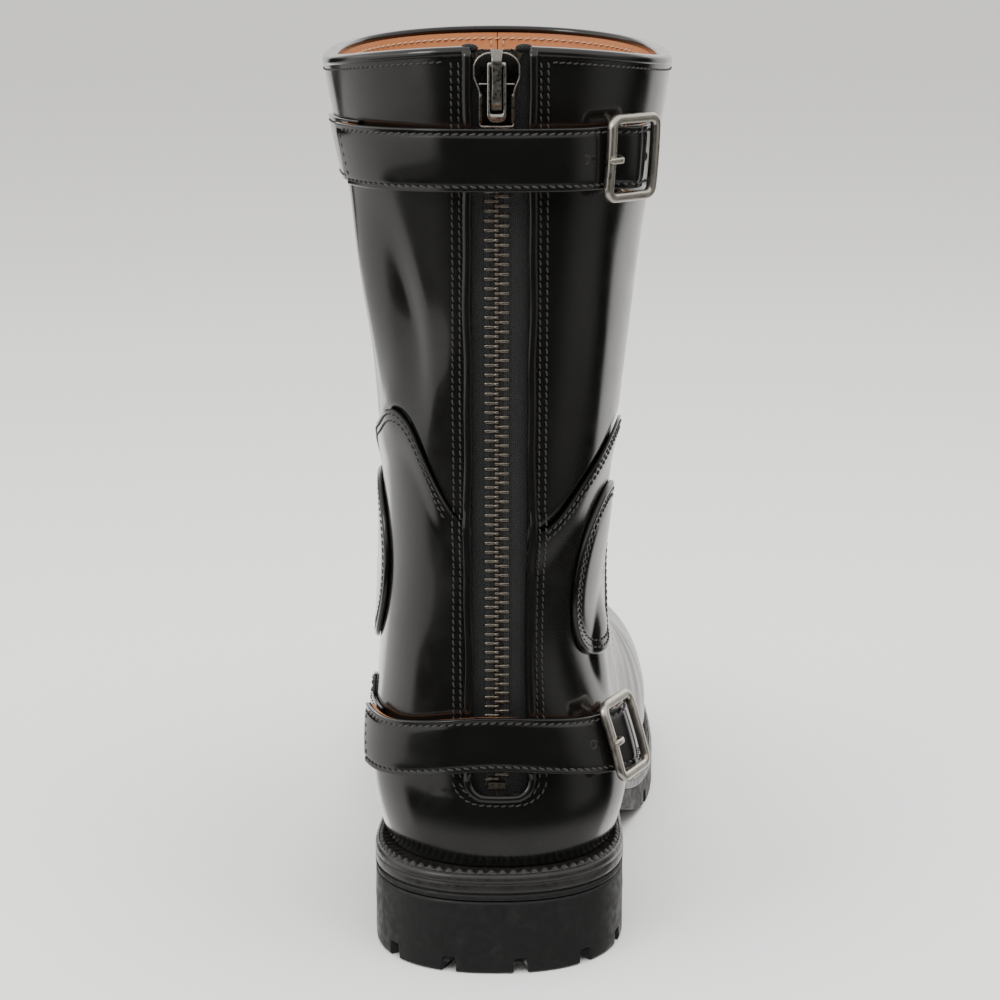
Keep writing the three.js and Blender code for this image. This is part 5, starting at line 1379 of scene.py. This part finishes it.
for row, draw, pitch, width in ((0, -1.15, 2.6, 0.5),):
    path = ring_at(draw, 2.95, welt_base)
    stitches(f"welt_stitch_{row}", path, np.tile([0.0, 0, 1.0], (1400, 1)), pitch=pitch, width=width, closed=True, lean=0, slot_name="edge_leather")
mid_base = midsole_bottom
rings = [ring_at(d, h, mid_base) for d, h in ((-3, 3.1), (-0.9, 3.15), (0.02, 3.2), (0.1, 3.1), (0.15, 2.0), (0.12, 1.0), (0.05, 0.3), (-0.2, 0.0), (-1.0, -0.1), (-3, 0.0))]
filled("midsole_layer", rings, (5, 110), mid_base, 3.0, mid_base, 0.0, EDGE, "midsole")
print("welt and midsole", len(OUTLINE), "points round")


# %% Notched rubber
def with_notches(line_length, centres, half, closed_step=1.1):
    """Positions along an outline: even steps, with extra ones on both edges of each notch."""
    even = np.arange(0, line_length, closed_step)
    keep = np.ones(len(even), bool)
    for c in centres:
        keep &= np.abs((even - c + line_length / 2) % line_length - line_length / 2) > half + 1.0
    extra = (np.asarray(centres)[:, None] + np.array([-1.0, -0.45, -0.05, 0.35, 0.75]) * 1.0 - half) if len(centres) else np.zeros((0, 1))
    other = (np.asarray(centres)[:, None] + half - np.array([-1.0, -0.45, -0.05, 0.35, 0.75])) if len(centres) else extra
    return np.sort(np.concatenate([even[keep], extra.ravel() % line_length, other.ravel() % line_length]))


def pick_line(line, normal, positions, total):
    at = np.arange(len(line) + 1) * total / len(line)
    take = lambda a: np.stack([np.interp(positions, at, np.append(a[:, k], a[0, k])) for k in (0, 1)], -1)
    return take(line), unit(take(normal))


def notched(name, line, normal, total, centres, half, low, high, tall, deep, centre, stands_for, batter=0.0):
    """A rubber wall between two heights that depend on y, stepping inwards at each notch up to a height."""
    positions = with_notches(total, centres, half)
    line, normal = pick_line(line, normal, positions, total)
    away = np.min([np.abs((positions - c + total / 2) % total - total / 2) for c in centres], 0)
    y = line[:, 1]
    bottom, top = low(y), high(y)
    levels = [(0.0, 0.5, 1), (0.25, 0.12, 1), (0.7, 0.0, 1), (0.5 * tall, 0.0, 1), (tall - 0.5, 0.0, 1), (tall - 0.02, 0.0, 1), (tall + 0.02, 0.0, 0), (tall + 0.5, 0.0, 0)]
    rings = []
    for h, draw, open_here in levels:
        reach = half * mix(1.12, 0.86, h / tall) if open_here else 0
        step = smooth((reach - away) / 0.4 + 0.5) if open_here else 0 * away
        flat = line - normal * (draw + deep * step + batter * h)[:, None]
        rings.append(np.concatenate([flat, np.minimum(bottom + h, top - 0.3)[:, None]], -1))
    for share in (0.3, 0.55, 0.8, 0.95):
        flat = line - normal * (batter * tall + 0.1 * np.sin(share * 9))
        rings.append(np.concatenate([flat, mix(np.minimum(bottom + tall + 0.5, top - 0.3), top - 0.3, share)[:, None]], -1))
    rings.append(np.concatenate([line - normal * 0.12, (top - 0.1)[:, None]], -1))
    rings.append(np.concatenate([line - normal * 0.5, top[:, None]], -1))
    rings = rings[::-1]
    return filled(name, rings, centre, high, 0.0, low, 0.0, RUBBER, stands_for)


tread_low = lambda y: midsole_bottom(y) - 0.3 - mix(2.4, 10, smoother((y - HEEL_FRONT) / (BALL - HEEL_FRONT)))
sole_high = lambda y: midsole_bottom(y) - 0.05
is_fore = OUTLINE[:, 1] > 112
fore_steps = steps_along[is_fore]
fore_notches = np.arange(fore_steps[0] + 8, fore_steps[-1] - 6, 20.5)
notched("rubber_outsole", OUTLINE, outline_normal, AROUND, fore_notches, 2.0, tread_low, sole_high, 5.6, 7.0, (5, 110), "rubber_sole")
back = OUTLINE[OUTLINE[:, 1] < HEEL_FRONT]
order = np.argsort(np.degrees(np.arctan2(back[:, 0], HEEL_PIVOT + 8 - back[:, 1])))
back = back[order]
breast_x = np.linspace(back[-1, 0], back[0, 0], 90)[1:-1]
breast = np.stack([breast_x, HEEL_FRONT - 2.2 * (1 - (breast_x / 41) ** 2)], -1)
heel_line = np.concatenate([back, breast])
loop = np.concatenate([heel_line, heel_line[:1]])
length = np.concatenate([[0], np.cumsum(np.linalg.norm(np.diff(loop, axis=0), axis=1))])
even = np.linspace(0, length[-1], 700, endpoint=False)
heel_line = np.stack([np.interp(even, length, loop[:, k]) for k in (0, 1)], -1)
heel_normal = np.stack([tangents(heel_line, True)[:, 1], -tangents(heel_line, True)[:, 0]], -1)
if ((heel_line - heel_line.mean(0)) * heel_normal).sum() < 0:
    heel_normal = -heel_normal
heel_angle = np.degrees(np.arctan2(heel_line[:, 0], HEEL_PIVOT - heel_line[:, 1]))
outer_part = heel_line[:, 1] < HEEL_FRONT - 3
heel_notches = [float(even[outer_part][np.argmin(np.abs(heel_angle[outer_part] - a))]) for a in (-76, -48, -21, 9, 38, 64)]
flat_zero, heel_top = (lambda y: 0 * y), (lambda y: 0 * y + 24.5)
notched("heel_rubber", heel_line, heel_normal, length[-1], heel_notches, 2.0, flat_zero, heel_top, 5.0, 8.0, (0, 2), "heel_block", batter=0.0)
print("heel and sole done")

# %% [markdown]
# ## Floor, light and camera
# A pale floor, and soft light from large panels. The panels are part of the sky that the leather mirrors: broad and
# pale on the left, a narrow one on the right, and dark in between, so that the gloss reads as gloss. The floor itself
# is kept out of mirror images, since a photographer would screen it off.

# %% Floor
floor_data = bpy.data.meshes.new("floor")
floor_data.from_pydata([(-30, -30, -0.0003), (30, -30, -0.0003), (30, 30, -0.0003), (-30, 30, -0.0003)], [], [(0, 1, 2, 3)])
floor = bpy.data.objects.new("floor", floor_data)
bpy.context.scene.collection.objects.link(floor)
pale = bpy.data.materials.new("pale floor")
pale.use_nodes = True
pale.node_tree.nodes["Principled BSDF"].inputs["Base Color"].default_value = (0.93, 0.93, 0.92, 1)
pale.node_tree.nodes["Principled BSDF"].inputs["Roughness"].default_value = 0.9
pale.node_tree.nodes["Principled BSDF"].inputs["Specular IOR Level"].default_value = 0.1
floor_data.materials.append(pale)
floor.visible_glossy = False
floor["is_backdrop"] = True


# %% Sky with panels
def studio(world):
    """Brightness by direction: a sum of soft-edged panels in bearing and height, pale above and just below the floor."""
    tree = world.node_tree
    tree.nodes.clear()
    new, link = tree.nodes.new, tree.links.new
    out, shade, coord, part = new("ShaderNodeOutputWorld"), new("ShaderNodeBackground"), new("ShaderNodeTexCoord"), new("ShaderNodeSeparateXYZ")
    link(coord.outputs["Generated"], part.inputs[0])

    def maths(operation, a, b=0.0):
        n = new("ShaderNodeMath")
        n.operation = operation
        for socket, value in zip(n.inputs, (a, b)):
            link(value, socket) if isinstance(value, bpy.types.NodeSocket) else setattr(socket, "default_value", value)
        return n.outputs[0]

    def band(value, low, high, soft):
        """One between low and high, fading over a soft width at both ends."""
        sides = []
        for start, end in ((low - soft, low + soft), (high + soft, high - soft)):
            n = new("ShaderNodeMapRange")
            n.interpolation_type = "SMOOTHSTEP"
            link(value, n.inputs[0])
            flip = start > end
            n.inputs[1].default_value, n.inputs[2].default_value = min(start, end), max(start, end)
            n.inputs[3].default_value, n.inputs[4].default_value = (1, 0) if flip else (0, 1)
            sides.append(n.outputs[0])
        return maths("MULTIPLY", *sides)

    bearing = maths("MULTIPLY", maths("ARCTAN2", part.outputs["X"], maths("MULTIPLY", part.outputs["Y"], -1.0)), 180 / math.pi)
    height = maths("MULTIPLY", maths("ARCSINE", part.outputs["Z"]), 180 / math.pi)
    shift = new("ShaderNodeMapRange")
    shift.interpolation_type = "SMOOTHSTEP"
    link(height, shift.inputs[0])
    for socket, value in zip(list(shift.inputs)[1:5], (-15, -6, 54, 0)):
        socket.default_value = value
    leaning = maths("ADD", bearing, shift.outputs[0])
    panels = [
        (0.95, band(height, 14, 95, 9), None),  # the sky
        (0.6, band(height, -95, -28, 7), None),  # the near floor
        (0.85, band(leaning, -120, -37, 6), band(height, -30, 30, 8)),  # broad panel on the left, its edge leaning out
        (0.32, band(bearing, 58, 96, 14), band(height, -16, 30, 6)),  # narrow panel on the right
        (1.2, band(bearing, 126, 200, 6), band(height, -38, 30, 8)),
        (1.1, band(bearing, -200, -150, 4), band(height, -38, 30, 8)),
    ]
    total = 0.008
    for strength, first, second in panels:
        total = maths("ADD", total, maths("MULTIPLY", maths("MULTIPLY", first, second) if second else first, strength))
    link(total, shade.inputs["Strength"])
    shade.inputs["Color"].default_value = (1.0, 0.985, 0.955, 1)
    link(shade.outputs[0], out.inputs[0])


world = bpy.data.worlds.new("studio")
world.use_nodes = True
bpy.context.scene.world = world
studio(world)


def panel(name, place, look_at, size, power):
    lamp = bpy.data.lights.new(name, "AREA")
    lamp.shape, lamp.size, lamp.energy = "SQUARE", size, power
    thing = bpy.data.objects.new(name, lamp)
    thing.location = place
    thing.rotation_euler = (Vector(look_at) - Vector(place)).to_track_quat("-Z", "Y").to_euler()
    bpy.context.scene.collection.objects.link(thing)
    return thing


overhead = panel("overhead", (0.1, -0.3, 1.7), (0, 0, 0.1), 1.6, 42)
overhead.visible_glossy = False
key = panel("key", (-1.1, -1.0, 1.1), (0, 0, 0.2), 0.5, 5)

# %% Camera
lens = bpy.data.cameras.new("camera")
lens.lens, lens.sensor_width = 91.9, 36
camera = bpy.data.objects.new("camera", lens)
camera.location = (0, -0.812, 0.339)
camera.rotation_euler = (math.radians(90 - 13.2), 0, 0)
bpy.context.scene.collection.objects.link(camera)
bpy.context.scene.camera = camera

# %% Sizes and the end
low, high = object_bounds()
{"cad": [list(cad_low), list(cad_high)], "visual": [list(low), list(high)]}
print("visual box in mm:", [round(v / MM, 1) for v in (*low, *high)])
